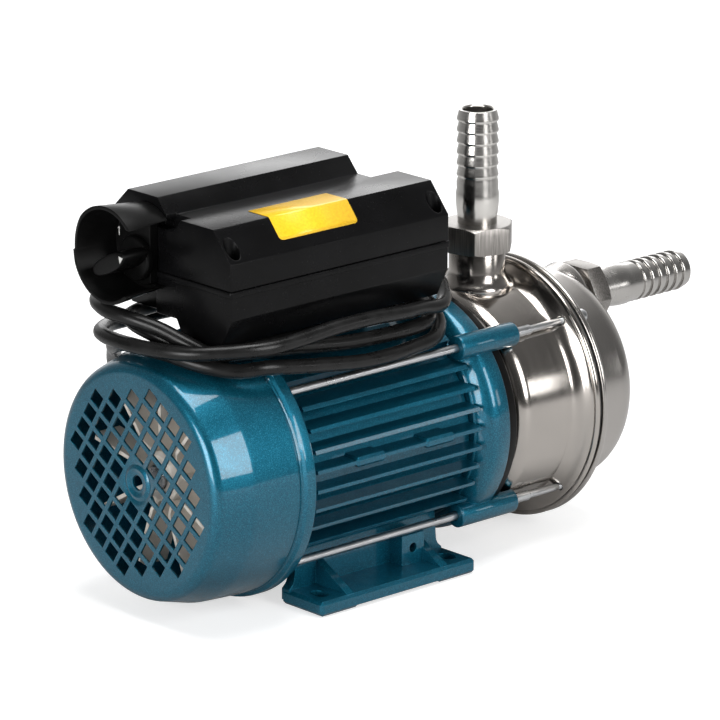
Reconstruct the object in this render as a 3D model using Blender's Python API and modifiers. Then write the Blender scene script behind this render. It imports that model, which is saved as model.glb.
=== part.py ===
"""Transfer pump: a finned electric motor drives a stainless side-channel head with two hose barbs.

Metres, +Z up. The motor axis runs along X and the pump head is at +X. The origin is under the middle of
the pump's bounding box, on the surface that it stands on. Most places below are given in the motor's own
frame, whose zero is midway between the foot holes; the empty pump_origin shifts them to the origin.
"""
import math

import bmesh
import bpy
import numpy as np
from mathutils import Matrix, Vector

# Clearance between touching pieces
GAP = 0.0003

# Motor feet and frame
AXIS_HEIGHT = 0.065
FOOT_HOLE_SPACING_X = 0.080
FOOT_HOLE_SPACING_Y = 0.090
FOOT_HOLE_R = 0.0035
FOOT_SLOT_EXTRA = 0.003
FOOT_LENGTH = 0.097
FOOT_HALF_WIDTH = 0.0563
FOOT_THICKNESS = 0.0071
FOOT_CORNER_R = 0.005
FOOT_PAD_LENGTH = 0.022
FOOT_RELIEF = 0.0012
WEB_OUTER_Y = 0.033
WEB_THICKNESS = 0.005
WEB_TAPER = 0.004
GUSSET_THICKNESS = 0.0044
GUSSET_X = 0.0295
GUSSET_HEIGHT = 0.0125
EARTH_BLOCK_X = 0.0215
EARTH_BLOCK_LENGTH = 0.014
EARTH_BLOCK_Y = 0.042
EARTH_BLOCK_TOP = 0.0215
EARTH_SCREW_Z = 0.0148
EARTH_SCREW_R = 0.002

FRAME_REAR = -0.0502
FRAME_FRONT = 0.0525
FRAME_BORE_R = 0.0425
FRAME_R = 0.047
FIN_TIP_R = 0.056
FIN_COUNT = 8
FIN_PITCH = 0.0093
FIN_ROOT_THICKNESS = 0.0028
FIN_TIP_THICKNESS = 0.0018
CROWN_R = 0.054
CROWN_HALF_ANGLE = math.radians(38)
FIN_BOSS_LENGTH = 0.018
FIN_BOSS_HEIGHT = 0.0047
FIN_BOSS_X = (-0.0176, 0.0256)
FIN_BOSS_Y = 0.0568
FIN_BOSS_Z = 0.00465
PAD_X = (-0.036, 0.024)
PAD_Y = (-0.011, 0.024)
PAD_TOP_Z = 0.1290

# Fan cover and rear shield
COVER_FRONT = -0.1110
COVER_WALL = 0.0018
COVER_CORNER_R = 0.0060
COVER_NOSE_R = 0.0563
COVER_KNEE_X = -0.0920
COVER_KNEE_R = 0.0600
COVER_BODY_R = 0.0615
COVER_GROOVE_DEPTH = 0.0008
COVER_STEP_X = -0.0665
LIP_R = 0.0636
LIP_START = -0.0636
LIP_END = -0.0580
GRILLE_PITCH = 0.0092
GRILLE_HOLE = 0.0063
GRILLE_TURN = math.radians(32.5)
GRILLE_OUTER_R = 0.0445
GRILLE_INNER_R = 0.0100
HUB_R = 0.0098
HUB_HOLE_R = 0.0034
HUB_DISH = 0.0005
SHIELD_REAR = -0.0600
SHIELD_RING_FRONT = -0.0583
SHIELD_NECK_R = 0.0500
BEARING_R = 0.0175
BEARING_BORE_R = 0.0075
BEARING_WIDTH = 0.011
BEARING_RACE = 0.0035
BEARING_SEAT_WALL = 0.0042
REAR_BEARING_X = -0.0595
FRONT_BEARING_X = 0.0610

# Tie rods, lugs and studs
ROD_OFFSET = 0.041
ROD_R = 0.002
ROD_HEAD_R = 0.0034
ROD_HEAD_HEIGHT = 0.0022
ROD_END_X = 0.066
LUG_R = 0.0058
LUG_REAR = 0.0493
LUG_FRONT = 0.0855
LUG_HOLE_R = 0.0023
STUD_R = 0.00175
STUD_START_X = 0.069
STUD_COLLAR_R = 0.0024
STUD_COLLAR_LENGTH = 0.011
STUD_END_X = 0.1310
STUD_NUT_R = 0.0034
STUD_NUT_LENGTH = 0.0052

# Front flange and spacer
FLANGE_REAR = FRAME_FRONT + GAP
FLANGE_FRONT = 0.0705
FLANGE_R = 0.058
FLANGE_STEP_R = 0.0505
SPIGOT_LENGTH = 0.003
SPIGOT_WALL = 0.004
SPACER_FRONT = 0.0782
SPACER_R = 0.0550
SPACER_BORE_R = 0.0460

# Shaft, rotor, stator and fan
SHAFT_R = 0.0075
SHAFT_REAR = -0.1000
SHAFT_FRONT = 0.1440
ROTOR_R = 0.0240
ROTOR_HALF_LENGTH = 0.0240
ROTOR_SHIFT = 0.0010
AIR_GAP = 0.0004
STATOR_HALF_LENGTH = 0.0245
COIL_LENGTH = 0.0125
COIL_R = (0.0285, 0.0375)
FAN_HUB_R = 0.0120
FAN_DISC_R = 0.0310
FAN_TIP_R = 0.0500
FAN_REAR = -0.0990
FAN_DEPTH = 0.0200
FAN_BLADES = 9
FAN_BLADE_THICKNESS = 0.0018
FAN_DISC_THICKNESS = 0.0020

# Pump head
SHEET = 0.0015
BOWL_REAR = 0.0785
BOWL_CORNER_R = 0.0085
BOWL_R = 0.0545
BOWL_SHAFT_R = 0.0160
RIM_R = 0.0643
RIM_REAR = 0.1195
RIM_THICKNESS = 0.0031
GASKET_THICKNESS = 0.0012
HEAD_COVER_R = 0.0524
HEAD_COVER_FRONT = 0.1605
HEAD_CORNER_R = 0.0120
STUD_HOLE_R = 0.0021
IMPELLER_R = 0.0400
IMPELLER_X = 0.1250
IMPELLER_THICKNESS = 0.0060
IMPELLER_HUB_R = 0.0125
IMPELLER_VANES = 12
VANE_DEPTH = 0.0070
LINER_X = 0.1085
LINER_THICKNESS = 0.0040
LINER_R = 0.0520
LINER_BORE_R = 0.0180
SEAL_R = 0.0130
IMPELLER_NUT_R = 0.0090
IMPELLER_NUT_LENGTH = 0.0070

# Ports and hose barbs
DISCHARGE_X = 0.1015
DISCHARGE_SOCKET_TOP = 0.1365
SUCTION_Z = 0.1010
SUCTION_SOCKET_END = 0.1702
SOCKET_R = 0.0135
SOCKET_FLARE_R = 0.0180
PORT_BORE_R = 0.0085
BARB_R = 0.0100
BARB_WALL = 0.0017
HEX_ACROSS_FLATS = 0.0320
HEX_LENGTH = 0.0128
BARB_NECK = 0.0175
BARB_RIDGES = 7
BARB_PITCH = 0.0054
BARB_BITE = 0.0010
BARB_SPIN = math.radians(13)

# Control box
BOX_REAR = -0.0880
BOX_FRONT = 0.0450
BOX_RIDGE_FRONT = 0.0280
BOX_HALF_WIDTH = 0.0400
BOX_STEP_Y = -0.0055
RECESS_DEPTH = 0.0040
RECESS_Y = 0.0120
RECESS_TOP_Z = 0.1841
BOX_FLOOR_Z = 0.1313
BOX_HIGH_FLOOR_Z = 0.1385
BOX_SEAM_Z = 0.1584
BOX_SHOULDER_Z = 0.1712
BOX_PLATEAU_Z = 0.1853
BOX_RIDGE_Z = 0.1930
BOX_WALL = 0.0022
SEAM_BAND = 0.0007
SEAM_BAND_HEIGHT = 0.0026
NOTCH_Z = 0.1790
NOTCH_DEPTH = 0.0060
BOX_SCREW_INSET = 0.0048
BOX_SCREW_COLUMN_R = 0.0043
BOX_SCREW_HEAD_R = 0.0029
BOX_SCREW_SEAT_Z = 0.1655
CAPACITOR_R = 0.0130
CAPACITOR_LENGTH = 0.0780
CAPACITOR_Y = -0.0215
CAPACITOR_Z = BOX_FLOOR_Z + BOX_WALL + CAPACITOR_R + GAP

# Switch
SWITCH_Y = 0.0175
SWITCH_Z = 0.1690
COLLAR_FRONT = -0.1133
COLLAR_FRONT_R = 0.0228
COLLAR_BASE_R = 0.0205
COLLAR_WALL = 0.0017
DIAL_X = -0.0930
KNOB_Y = 0.0190
KNOB_Z = 0.1640
KNOB_R = 0.0105
KNOB_FRONT = -0.1110
KNOB_STEM_R = 0.0032
LEVER_WIDTH = 0.0115
LEVER_THICKNESS = 0.0034
KNOB_DISC = 0.0030

# Mains cord, its gland and its plug
CORD_R = 0.0035
GLAND_Y = -0.020
GLAND_Z = 0.1260
GLAND_R = 0.0049
GLAND_END = 0.0265
HOOD_FRONT = 0.0400
HOOD_LENGTH = 0.0040
HOOD_HALF_WIDTH = 0.0058
CORD_POINTS = 80
CORD_TURN_WEIGHT = 0.06
PLUG_AT = Vector((0.056, 0.0845, 0.0175))
PLUG_R = 0.0172
PLUG_LENGTH = 0.030
PLUG_RELIEF = 0.022
PIN_R = 0.0024
PIN_LENGTH = 0.019
PIN_SPACING = 0.019

ROUND_STEPS = 32
INNER_STEPS = 16
BARB_STEPS = 16
SMALL_STEPS = 16
FASTENER_STEPS = 8

# The longest extent runs from the fan cover to the tip of the suction barb
SUCTION_TIP = SUCTION_SOCKET_END + GAP + HEX_LENGTH + BARB_NECK + BARB_RIDGES * BARB_PITCH
ORIGIN_SHIFT = -(min(COVER_FRONT, COLLAR_FRONT) + SUCTION_TIP) / 2

# The mains cord's route in the motor's frame: out of the gland, four turns round the box's neck, then down
# behind the motor to the plug. Each turn starts with its stretch on the near side.
CORD_ROUTE = (
    (0.0262, -0.0200, 0.1260), (0.0150, -0.0200, 0.1260), (-0.0050, -0.0205, 0.1264),
    (-0.0220, -0.0230, 0.1268), (-0.0400, -0.0270, 0.1268), (-0.0560, -0.0290, 0.1268),
    (-0.0690, -0.0250, 0.1270), (-0.0820, -0.0190, 0.1271), (-0.0925, -0.0102, 0.1283),
    (-0.0986, 0.0035, 0.1328), (-0.0975, 0.0175, 0.1348), (-0.0880, 0.0295, 0.1344),
    (-0.0700, 0.0362, 0.1333), (-0.0450, 0.0385, 0.1328), (-0.0100, 0.0390, 0.1328),
    (0.0150, 0.0390, 0.1336), (0.0350, 0.0350, 0.1355), (0.0500, 0.0240, 0.1368),
    (0.0600, 0.0070, 0.1368), (0.0610, -0.0090, 0.1353),
    (0.0570, -0.0225, 0.1320), (0.0495, -0.0325, 0.1284), (0.0410, -0.0375, 0.1275),
    (0.0280, -0.0402, 0.1295), (0.0140, -0.0440, 0.1310), (-0.0080, -0.0465, 0.1330),
    (-0.0300, -0.0470, 0.1332), (-0.0500, -0.0470, 0.1318), (-0.0700, -0.0465, 0.1310),
    (-0.0870, -0.0395, 0.1308), (-0.1010, -0.0265, 0.1298), (-0.1080, -0.0090, 0.1296),
    (-0.1115, 0.0090, 0.1298), (-0.1080, 0.0270, 0.1295), (-0.0960, 0.0385, 0.1282),
    (-0.0780, 0.0455, 0.1262), (-0.0500, 0.0475, 0.1250), (-0.0150, 0.0475, 0.1240),
    (0.0150, 0.0435, 0.1235), (0.0350, 0.0330, 0.1240), (0.0453, 0.0175, 0.1260),
    (0.0486, 0.0010, 0.1268),
    (0.0483, -0.0130, 0.1260), (0.0456, -0.0245, 0.1240), (0.0395, -0.0330, 0.1216),
    (0.0300, -0.0378, 0.1206), (0.0100, -0.0390, 0.1204), (-0.0150, -0.0395, 0.1216),
    (-0.0350, -0.0393, 0.1238), (-0.0520, -0.0387, 0.1260), (-0.0660, -0.0373, 0.1269),
    (-0.0790, -0.0335, 0.1271), (-0.0885, -0.0285, 0.1271), (-0.0962, -0.0185, 0.1322),
    (-0.1015, -0.0060, 0.1372), (-0.1080, 0.0070, 0.1408), (-0.1105, 0.0200, 0.1423),
    (-0.1040, 0.0350, 0.1428), (-0.0900, 0.0450, 0.1426), (-0.0720, 0.0485, 0.1422),
    (-0.0500, 0.0485, 0.1418), (-0.0200, 0.0485, 0.1405), (0.0050, 0.0485, 0.1375),
    (0.0250, 0.0475, 0.1320), (0.0400, 0.0410, 0.1285), (0.0500, 0.0280, 0.1276),
    (0.0556, 0.0120, 0.1270),
    (0.0564, -0.0020, 0.1253), (0.0550, -0.0155, 0.1222), (0.0486, -0.0300, 0.1164),
    (0.0360, -0.0398, 0.1133), (0.0200, -0.0430, 0.1128), (0.0050, -0.0460, 0.1130),
    (-0.0150, -0.0470, 0.1138), (-0.0350, -0.0475, 0.1165), (-0.0550, -0.0475, 0.1195),
    (-0.0720, -0.0450, 0.1216), (-0.0840, -0.0385, 0.1208), (-0.0950, -0.0263, 0.1233),
    (-0.1010, -0.0104, 0.1263), (-0.1025, 0.0042, 0.1264), (-0.1000, 0.0195, 0.1246),
    (-0.0945, 0.0344, 0.1195), (-0.0850, 0.0460, 0.1135), (-0.0760, 0.0570, 0.1035),
    (-0.0660, 0.0655, 0.0910), (-0.0565, 0.0705, 0.0770), (-0.0470, 0.0725, 0.0590),
    (-0.0380, 0.0730, 0.0400), (-0.0270, 0.0735, 0.0210), (-0.0140, 0.0750, 0.0082),
    (0.0020, 0.0780, 0.0038), (0.0180, 0.0810, 0.0052), (0.0310, 0.0830, 0.0120),
    (0.0430, 0.0843, 0.0168), (0.0555, 0.0845, 0.0175),
)


def clear_scene():
    for item in list(bpy.data.objects):
        bpy.data.objects.remove(item, do_unlink=True)


def make_collection(name):
    group = bpy.data.collections.get(name) or bpy.data.collections.new(name)
    if name not in bpy.context.scene.collection.children:
        bpy.context.scene.collection.children.link(group)
    return group


def make_material(name, colour, roughness, metallic=0.0):
    material = bpy.data.materials.new(name)
    material.use_nodes = True
    shader = material.node_tree.nodes["Principled BSDF"]
    shader.inputs["Base Color"].default_value = (*colour, 1.0)
    shader.inputs["Roughness"].default_value = roughness
    shader.inputs["Metallic"].default_value = metallic
    material.diffuse_color = (*colour, 1.0)
    return material


clear_scene()
PARTS = make_collection("transfer_pump")
CUTTERS = make_collection("cutters")
TEAL = make_material("teal_enamel", (0.012, 0.16, 0.215), 0.32, 0.45)
BLACK = make_material("black_plastic", (0.018, 0.018, 0.02), 0.42)
STAINLESS = make_material("stainless_steel", (0.60, 0.57, 0.53), 0.24, 1.0)
ZINC = make_material("zinc_plate", (0.62, 0.61, 0.58), 0.35, 1.0)
STEEL = make_material("machined_steel", (0.42, 0.42, 0.43), 0.3, 1.0)
LAMINATION = make_material("electrical_steel", (0.20, 0.20, 0.22), 0.5, 0.9)
COPPER = make_material("enamelled_copper", (0.55, 0.20, 0.07), 0.4, 0.8)
FAN_PLASTIC = make_material("cream_plastic", (0.72, 0.67, 0.58), 0.5)
RUBBER = make_material("black_rubber", (0.015, 0.015, 0.015), 0.75)
CARBON = make_material("carbon_seal", (0.05, 0.05, 0.055), 0.55)
BRASS = make_material("brass", (0.62, 0.44, 0.16), 0.3, 1.0)
PVC = make_material("black_cord", (0.016, 0.016, 0.017), 0.38)


def make_empty(name, place, parent=None):
    empty = bpy.data.objects.new(name, None)
    empty.location = place
    empty.parent = parent
    PARTS.objects.link(empty)
    return empty


ORIGIN = make_empty("pump_origin", (ORIGIN_SHIFT, 0, 0))
ROTOR_AXIS = make_empty("rotor_axis", (0, 0, AXIS_HEIGHT), ORIGIN)
KNOB_AXIS = make_empty("knob_axis", (DIAL_X, KNOB_Y, KNOB_Z), ORIGIN)

# Local axes turned to the machine's: a turned piece's Z lies along X, an outline's XY is the YZ plane
ALONG_X = Matrix.Rotation(math.radians(90), 4, "Y")
SECTION = Matrix(((0, 0, 1, 0), (1, 0, 0, 0), (0, 1, 0, 0), (0, 0, 0, 1)))
ELEVATION = Matrix.Rotation(math.radians(90), 4, "X")
UPRIGHT = Matrix.Identity(4)


def place_object(obj, place=(0, 0, 0), turn=UPRIGHT, parent=None, group=None):
    """Sets an object in the machine's frame, under the empty that carries it."""
    obj.parent = parent or ORIGIN
    obj.location = place
    obj.rotation_euler = turn.to_euler()
    (group or PARTS).objects.link(obj)
    if group is CUTTERS:
        obj.hide_render = True
        obj.display_type = "WIRE"
    return obj


def mesh_object(name, mesh, material=None):
    if material and not mesh.materials:
        mesh.materials.append(material)
    return bpy.data.objects.new(name, mesh)


def finish_mesh(shape, name, smooth=True):
    mesh = bpy.data.meshes.new(name)
    bmesh.ops.recalc_face_normals(shape, faces=shape.faces)
    shape.to_mesh(mesh)
    shape.free()
    if smooth:
        mesh.shade_smooth()
        mesh.set_sharp_from_angle(angle=math.radians(32))
    return mesh


def loop_area(points):
    total = 0.0
    for (r0, z0), (r1, z1) in zip(points, points[1:] + points[:1]):
        total += r0 * z1 - r1 * z0
    return total / 2


def turned(name, profile, material, place=(0, 0, 0), turn=ALONG_X, steps=ROUND_STEPS, parent=None,
           group=None):
    """A solid of revolution. The profile is a closed loop of (radius, distance along the axis)."""
    points = list(profile)
    if loop_area(points) > 0:
        points.reverse()
    on_axis = [i for i, p in enumerate(points) if p[0] < 1e-7]
    if on_axis:
        start = next(i for i in on_axis if (i - 1) % len(points) in on_axis or len(on_axis) == 1)
        points = points[start:] + points[:start]
    mesh = bpy.data.meshes.new(name)
    edges = [(i, i + 1) for i in range(len(points) - 1)]
    if not on_axis:
        edges.append((len(points) - 1, 0))
    mesh.from_pydata([(r, 0, z) for r, z in points], edges, [])
    obj = mesh_object(name, mesh, material)
    screw = obj.modifiers.new("turn", "SCREW")
    screw.steps = steps
    screw.render_steps = steps
    screw.use_merge_vertices = True
    screw.merge_threshold = 0.00001
    screw.use_smooth_shade = True
    return place_object(obj, place, turn, parent, group)


def arc(centre, radius, start, end, steps):
    """Points of an arc in (radius, axis) or any other plane, from start to end in degrees."""
    result = []
    for i in range(steps + 1):
        a = math.radians(start + (end - start) * i / steps)
        result.append((centre[0] + radius * math.cos(a), centre[1] + radius * math.sin(a)))
    return result


def flat(name, outlines, thickness, material, place=(0, 0, 0), turn=SECTION, parent=None, group=None):
    """A flat outline, with any holes as further outlines, given a thickness about its own plane."""
    curve = bpy.data.curves.new(name, "CURVE")
    curve.dimensions = "2D"
    curve.fill_mode = "BOTH"
    curve.extrude = thickness / 2
    for outline in outlines:
        spline = curve.splines.new("POLY")
        spline.points.add(len(outline) - 1)
        for point, (x, y) in zip(spline.points, outline):
            point.co = (x, y, 0, 1)
        spline.use_cyclic_u = True
    guide = bpy.data.objects.new(name + "_outline", curve)
    bpy.context.scene.collection.objects.link(guide)
    mesh = bpy.data.meshes.new_from_object(guide.evaluated_get(bpy.context.evaluated_depsgraph_get()))
    bpy.data.objects.remove(guide)
    bpy.data.curves.remove(curve)
    shape = bmesh.new()
    shape.from_mesh(mesh)
    bmesh.ops.remove_doubles(shape, verts=shape.verts, dist=0.00001)
    bmesh.ops.dissolve_limit(shape, angle_limit=math.radians(0.5), verts=shape.verts, edges=shape.edges)
    bpy.data.meshes.remove(mesh)
    obj = mesh_object(name, finish_mesh(shape, name), material)
    return place_object(obj, place, turn, parent, group)


def block(name, low, high, material=None, parent=None, group=None):
    """A box between two corners, with its origin at its middle."""
    shape = bmesh.new()
    size = [b - a for a, b in zip(low, high)]
    bmesh.ops.create_cube(shape, size=1.0, matrix=Matrix.Diagonal((*size, 1)))
    obj = mesh_object(name, finish_mesh(shape, name, smooth=False), material)
    return place_object(obj, [(a + b) / 2 for a, b in zip(low, high)], UPRIGHT, parent, group)


def rod(name, radius, start, end, material=None, sides=SMALL_STEPS, end_radius=None, parent=None,
        group=None, spin=0.0):
    """A cylinder or cone from one point to another."""
    start, end = Vector(start), Vector(end)
    shape = bmesh.new()
    bmesh.ops.create_cone(shape, cap_ends=True, cap_tris=False, segments=sides, radius1=radius,
                          radius2=radius if end_radius is None else end_radius,
                          depth=(end - start).length)
    turn = (end - start).to_track_quat("Z", "Y").to_matrix().to_4x4() @ Matrix.Rotation(spin, 4, "Z")
    obj = mesh_object(name, finish_mesh(shape, name), material)
    return place_object(obj, (start + end) / 2, turn, parent, group)


def combine(obj, tool, operation):
    change = obj.modifiers.new(operation.lower(), "BOOLEAN")
    change.operation = operation
    change.object = tool
    return change


def cut(obj, *tools):
    for tool in tools:
        combine(obj, tool, "DIFFERENCE")


def join(obj, *tools):
    for tool in tools:
        combine(obj, tool, "UNION")


def soften(obj, width, segments=1, angle=40):
    edge = obj.modifiers.new("edges", "BEVEL")
    edge.width = width
    edge.segments = segments
    edge.limit_method = "ANGLE"
    edge.angle_limit = math.radians(angle)
    edge.use_clamp_overlap = True
    return edge


def corners(offset=ROD_OFFSET):
    """The four tie rod places round the axis, as (y, z)."""
    return [(sy * offset, AXIS_HEIGHT + sz * offset) for sy in (-1, 1) for sz in (1, -1)]


def frame_outline():
    """The finned section of the frame, as (y, height above the axis), clockwise from the top."""
    half = []
    crown_end = math.pi / 2 - CROWN_HALF_ANGLE
    for i in range(8):
        a = math.pi / 2 - CROWN_HALF_ANGLE * i / 7
        half.append((CROWN_R * math.cos(a), CROWN_R * math.sin(a)))
    half.append((FRAME_R * math.cos(crown_end), FRAME_R * math.sin(crown_end)))
    for i in range(FIN_COUNT):
        level = ((FIN_COUNT - 1) / 2 - i) * FIN_PITCH
        for side in (1, -1):
            root_z = level + side * FIN_ROOT_THICKNESS / 2
            tip_z = level + side * FIN_TIP_THICKNESS / 2
            root = (math.sqrt(FRAME_R ** 2 - root_z ** 2), root_z)
            tip = (math.sqrt(FIN_TIP_R ** 2 - tip_z ** 2), tip_z)
            half += [root, tip] if side > 0 else [tip, root]
    lowest = math.atan2(half[-1][1], half[-1][0])
    for i in range(1, 7):
        a = lowest + (-math.pi / 2 - lowest) * i / 6
        half.append((FRAME_R * math.cos(a), FRAME_R * math.sin(a)))
    other = [(-y, z) for y, z in half[1:-1]]
    return half + other[::-1]


def circle(radius, steps=ROUND_STEPS):
    return [(radius * math.cos(2 * math.pi * i / steps), radius * math.sin(2 * math.pi * i / steps))
            for i in range(steps)]


def slot_outline(radius, extra):
    """A slot along Y for a foot bolt."""
    return (arc((0, extra / 2), radius, 0, 180, 8) + arc((0, -extra / 2), radius, 180, 360, 8))


def make_foot(frame, side):
    """One foot: a plate on the floor, a tapered web up to the frame, and two gussets."""
    tag = "near" if side < 0 else "far"
    half = FOOT_LENGTH / 2
    web_inner = WEB_OUTER_Y - WEB_THICKNESS
    web_top = AXIS_HEIGHT - math.sqrt(FRAME_R ** 2 - WEB_OUTER_Y ** 2) + 0.0006
    plate = block("foot_plate_" + tag, (-half, -FOOT_HALF_WIDTH, 0), (half, -web_inner, FOOT_THICKNESS),
                  group=CUTTERS)
    plate.location.y *= -side
    soften(plate, FOOT_CORNER_R * 0.3)
    hollow = arc((half - WEB_TAPER + 0.006, FOOT_THICKNESS + 0.006), 0.006, 270, 180, 5)
    right = [(half - 0.0005, 0.002), (half - 0.0005, FOOT_THICKNESS - 0.001)]
    right += [(min(x, half - 0.0005), z) for x, z in hollow] + [(half - WEB_TAPER - 0.0015, web_top)]
    outline = right + [(-x, z) for x, z in reversed(right)]
    web = flat("foot_web_" + tag, [outline], WEB_THICKNESS, None,
               (0, side * (WEB_OUTER_Y - WEB_THICKNESS / 2), 0), ELEVATION, group=CUTTERS)
    join(frame, plate, web)
    for x in (-GUSSET_X, GUSSET_X):
        triangle = [(side * (WEB_OUTER_Y - 0.002), 0.004), (side * (FOOT_HALF_WIDTH - 0.0012), 0.004),
                    (side * (FOOT_HALF_WIDTH - 0.0012), FOOT_THICKNESS),
                    (side * (WEB_OUTER_Y - 0.002), FOOT_THICKNESS + GUSSET_HEIGHT)]
        join(frame, flat("gusset_%s_%d" % (tag, x > 0), [triangle], GUSSET_THICKNESS, None, (x, 0, 0),
                         group=CUTTERS))
        hole = flat("foot_slot_%s_%d" % (tag, x > 0), [slot_outline(FOOT_HOLE_R, FOOT_SLOT_EXTRA)], 0.04,
                    None, (math.copysign(FOOT_HOLE_SPACING_X / 2, x), side * FOOT_HOLE_SPACING_Y / 2, 0),
                    UPRIGHT, group=CUTTERS)
        cut(frame, hole)


def make_frame():
    length = FRAME_FRONT - FRAME_REAR
    frame = flat("motor_frame", [frame_outline(), circle(FRAME_BORE_R)], length, TEAL,
                 ((FRAME_FRONT + FRAME_REAR) / 2, 0, AXIS_HEIGHT))
    pad = block("box_pad", (PAD_X[0], PAD_Y[0], AXIS_HEIGHT + FRAME_BORE_R + 0.004),
                (PAD_X[1], PAD_Y[1], PAD_TOP_Z), group=CUTTERS)
    soften(pad, 0.002)
    join(frame, pad)
    for side in (-1, 1):
        for i, x in enumerate(FIN_BOSS_X):
            boss = block("fin_boss_%d_%d" % (side > 0, i),
                         (x - FIN_BOSS_LENGTH / 2, FRAME_R - 0.003,
                          AXIS_HEIGHT + FIN_BOSS_Z - FIN_BOSS_HEIGHT / 2),
                         (x + FIN_BOSS_LENGTH / 2, FIN_BOSS_Y,
                          AXIS_HEIGHT + FIN_BOSS_Z + FIN_BOSS_HEIGHT / 2), group=CUTTERS)
            boss.location.y *= side
            soften(boss, 0.0012)
            join(frame, boss)
        make_foot(frame, side)
    earth = block("earth_boss", (EARTH_BLOCK_X - EARTH_BLOCK_LENGTH / 2, -EARTH_BLOCK_Y, 0.004),
                  (EARTH_BLOCK_X + EARTH_BLOCK_LENGTH / 2, -(WEB_OUTER_Y - 0.002), EARTH_BLOCK_TOP),
                  group=CUTTERS)
    join(frame, earth)
    relief_half = FOOT_LENGTH / 2 - FOOT_PAD_LENGTH
    cut(frame, block("foot_relief", (-relief_half, -0.07, -0.01), (relief_half, 0.07, FOOT_RELIEF),
                     group=CUTTERS))
    cut(frame, rod("earth_hole", EARTH_SCREW_R + GAP, (EARTH_BLOCK_X, -EARTH_BLOCK_Y - 0.01, EARTH_SCREW_Z),
                   (EARTH_BLOCK_X, -EARTH_BLOCK_Y + 0.007, EARTH_SCREW_Z), group=CUTTERS, sides=16))
    return frame


def grille_tool():
    """All the square windows of the fan cover as one cutting object."""
    shape = bmesh.new()
    reach = int(GRILLE_OUTER_R / GRILLE_PITCH) + 1
    deep = Matrix.Diagonal((GRILLE_HOLE, GRILLE_HOLE, 4 * COVER_WALL, 1))
    for i in range(-reach, reach):
        for j in range(-reach, reach):
            x, y = (i + 0.5) * GRILLE_PITCH, (j + 0.5) * GRILLE_PITCH
            if GRILLE_INNER_R < math.hypot(x, y) < GRILLE_OUTER_R:
                bmesh.ops.create_cube(shape, size=1.0, matrix=Matrix.Translation((x, y, 0)) @ deep)
    mesh = finish_mesh(shape, "grille_windows", smooth=False)
    turn = ALONG_X @ Matrix.Rotation(GRILLE_TURN, 4, "Z")
    return place_object(mesh_object("grille_windows", mesh), (COVER_FRONT, 0, AXIS_HEIGHT), turn,
                        group=CUTTERS)


def make_fan_cover():
    """A pressed cover: flat grille face, rounded corner, a taper in two steps, and a grooved lip."""
    face_r = COVER_NOSE_R - COVER_CORNER_R
    outer = [(HUB_HOLE_R, COVER_FRONT + HUB_DISH), (HUB_R - 0.001, COVER_FRONT + HUB_DISH),
             (HUB_R, COVER_FRONT)]
    outer += arc((face_r, COVER_FRONT + COVER_CORNER_R), COVER_CORNER_R, 270, 345, 4)
    outer += [(COVER_KNEE_R, COVER_KNEE_X), (COVER_BODY_R, COVER_STEP_X),
              (COVER_BODY_R - COVER_GROOVE_DEPTH, COVER_STEP_X + 0.0010), (COVER_BODY_R, COVER_STEP_X + 0.0020),
              (LIP_R - 0.0006, LIP_START), (LIP_R, LIP_START + 0.0006), (LIP_R, LIP_END)]
    inner = [(LIP_R - COVER_WALL, LIP_END), (LIP_R - COVER_WALL, LIP_START + 0.0006),
             (COVER_BODY_R - COVER_WALL, COVER_STEP_X + 0.0020),
             (COVER_BODY_R - COVER_WALL, COVER_STEP_X), (COVER_KNEE_R - COVER_WALL, COVER_KNEE_X)]
    inner += arc((face_r, COVER_FRONT + COVER_CORNER_R), COVER_CORNER_R - COVER_WALL, 345, 270, 3)
    inner += [(HUB_HOLE_R, COVER_FRONT + COVER_WALL + HUB_DISH)]
    cover = turned("fan_cover", outer + inner, TEAL, (0, 0, AXIS_HEIGHT))
    cut(cover, grille_tool())
    return cover


def make_rear_shield():
    """The motor's rear end: a thin ring that carries the fan cover, a neck, and the bearing's seat."""
    seat = BEARING_R + GAP
    ring_r = LIP_R - COVER_WALL - GAP
    hub = seat + BEARING_SEAT_WALL
    hub_rear = REAR_BEARING_X - BEARING_WIDTH / 2 - 0.001
    hub_front = REAR_BEARING_X + BEARING_WIDTH / 2 + GAP
    spigot = FRAME_BORE_R - GAP
    front = FRAME_REAR - GAP
    profile = [(seat, hub_rear), (hub, hub_rear), (hub, SHIELD_REAR),
               (ring_r, SHIELD_REAR), (ring_r, SHIELD_RING_FRONT), (SHIELD_NECK_R, SHIELD_RING_FRONT),
               (SHIELD_NECK_R, front), (spigot, front), (spigot, front + SPIGOT_LENGTH),
               (spigot - SPIGOT_WALL, front + SPIGOT_LENGTH), (spigot - SPIGOT_WALL, front - 0.002),
               (SHAFT_R + 0.003, front - 0.002), (SHAFT_R + 0.003, hub_front), (seat, hub_front)]
    shield = turned("rear_shield", profile, TEAL, (0, 0, AXIS_HEIGHT))
    for i, (y, z) in enumerate(corners()):
        cut(shield, rod("shield_hole_%d" % i, LUG_HOLE_R, (SHIELD_REAR - 0.01, y, z),
                        (FRAME_REAR + 0.01, y, z), group=CUTTERS, sides=FASTENER_STEPS))


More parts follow.
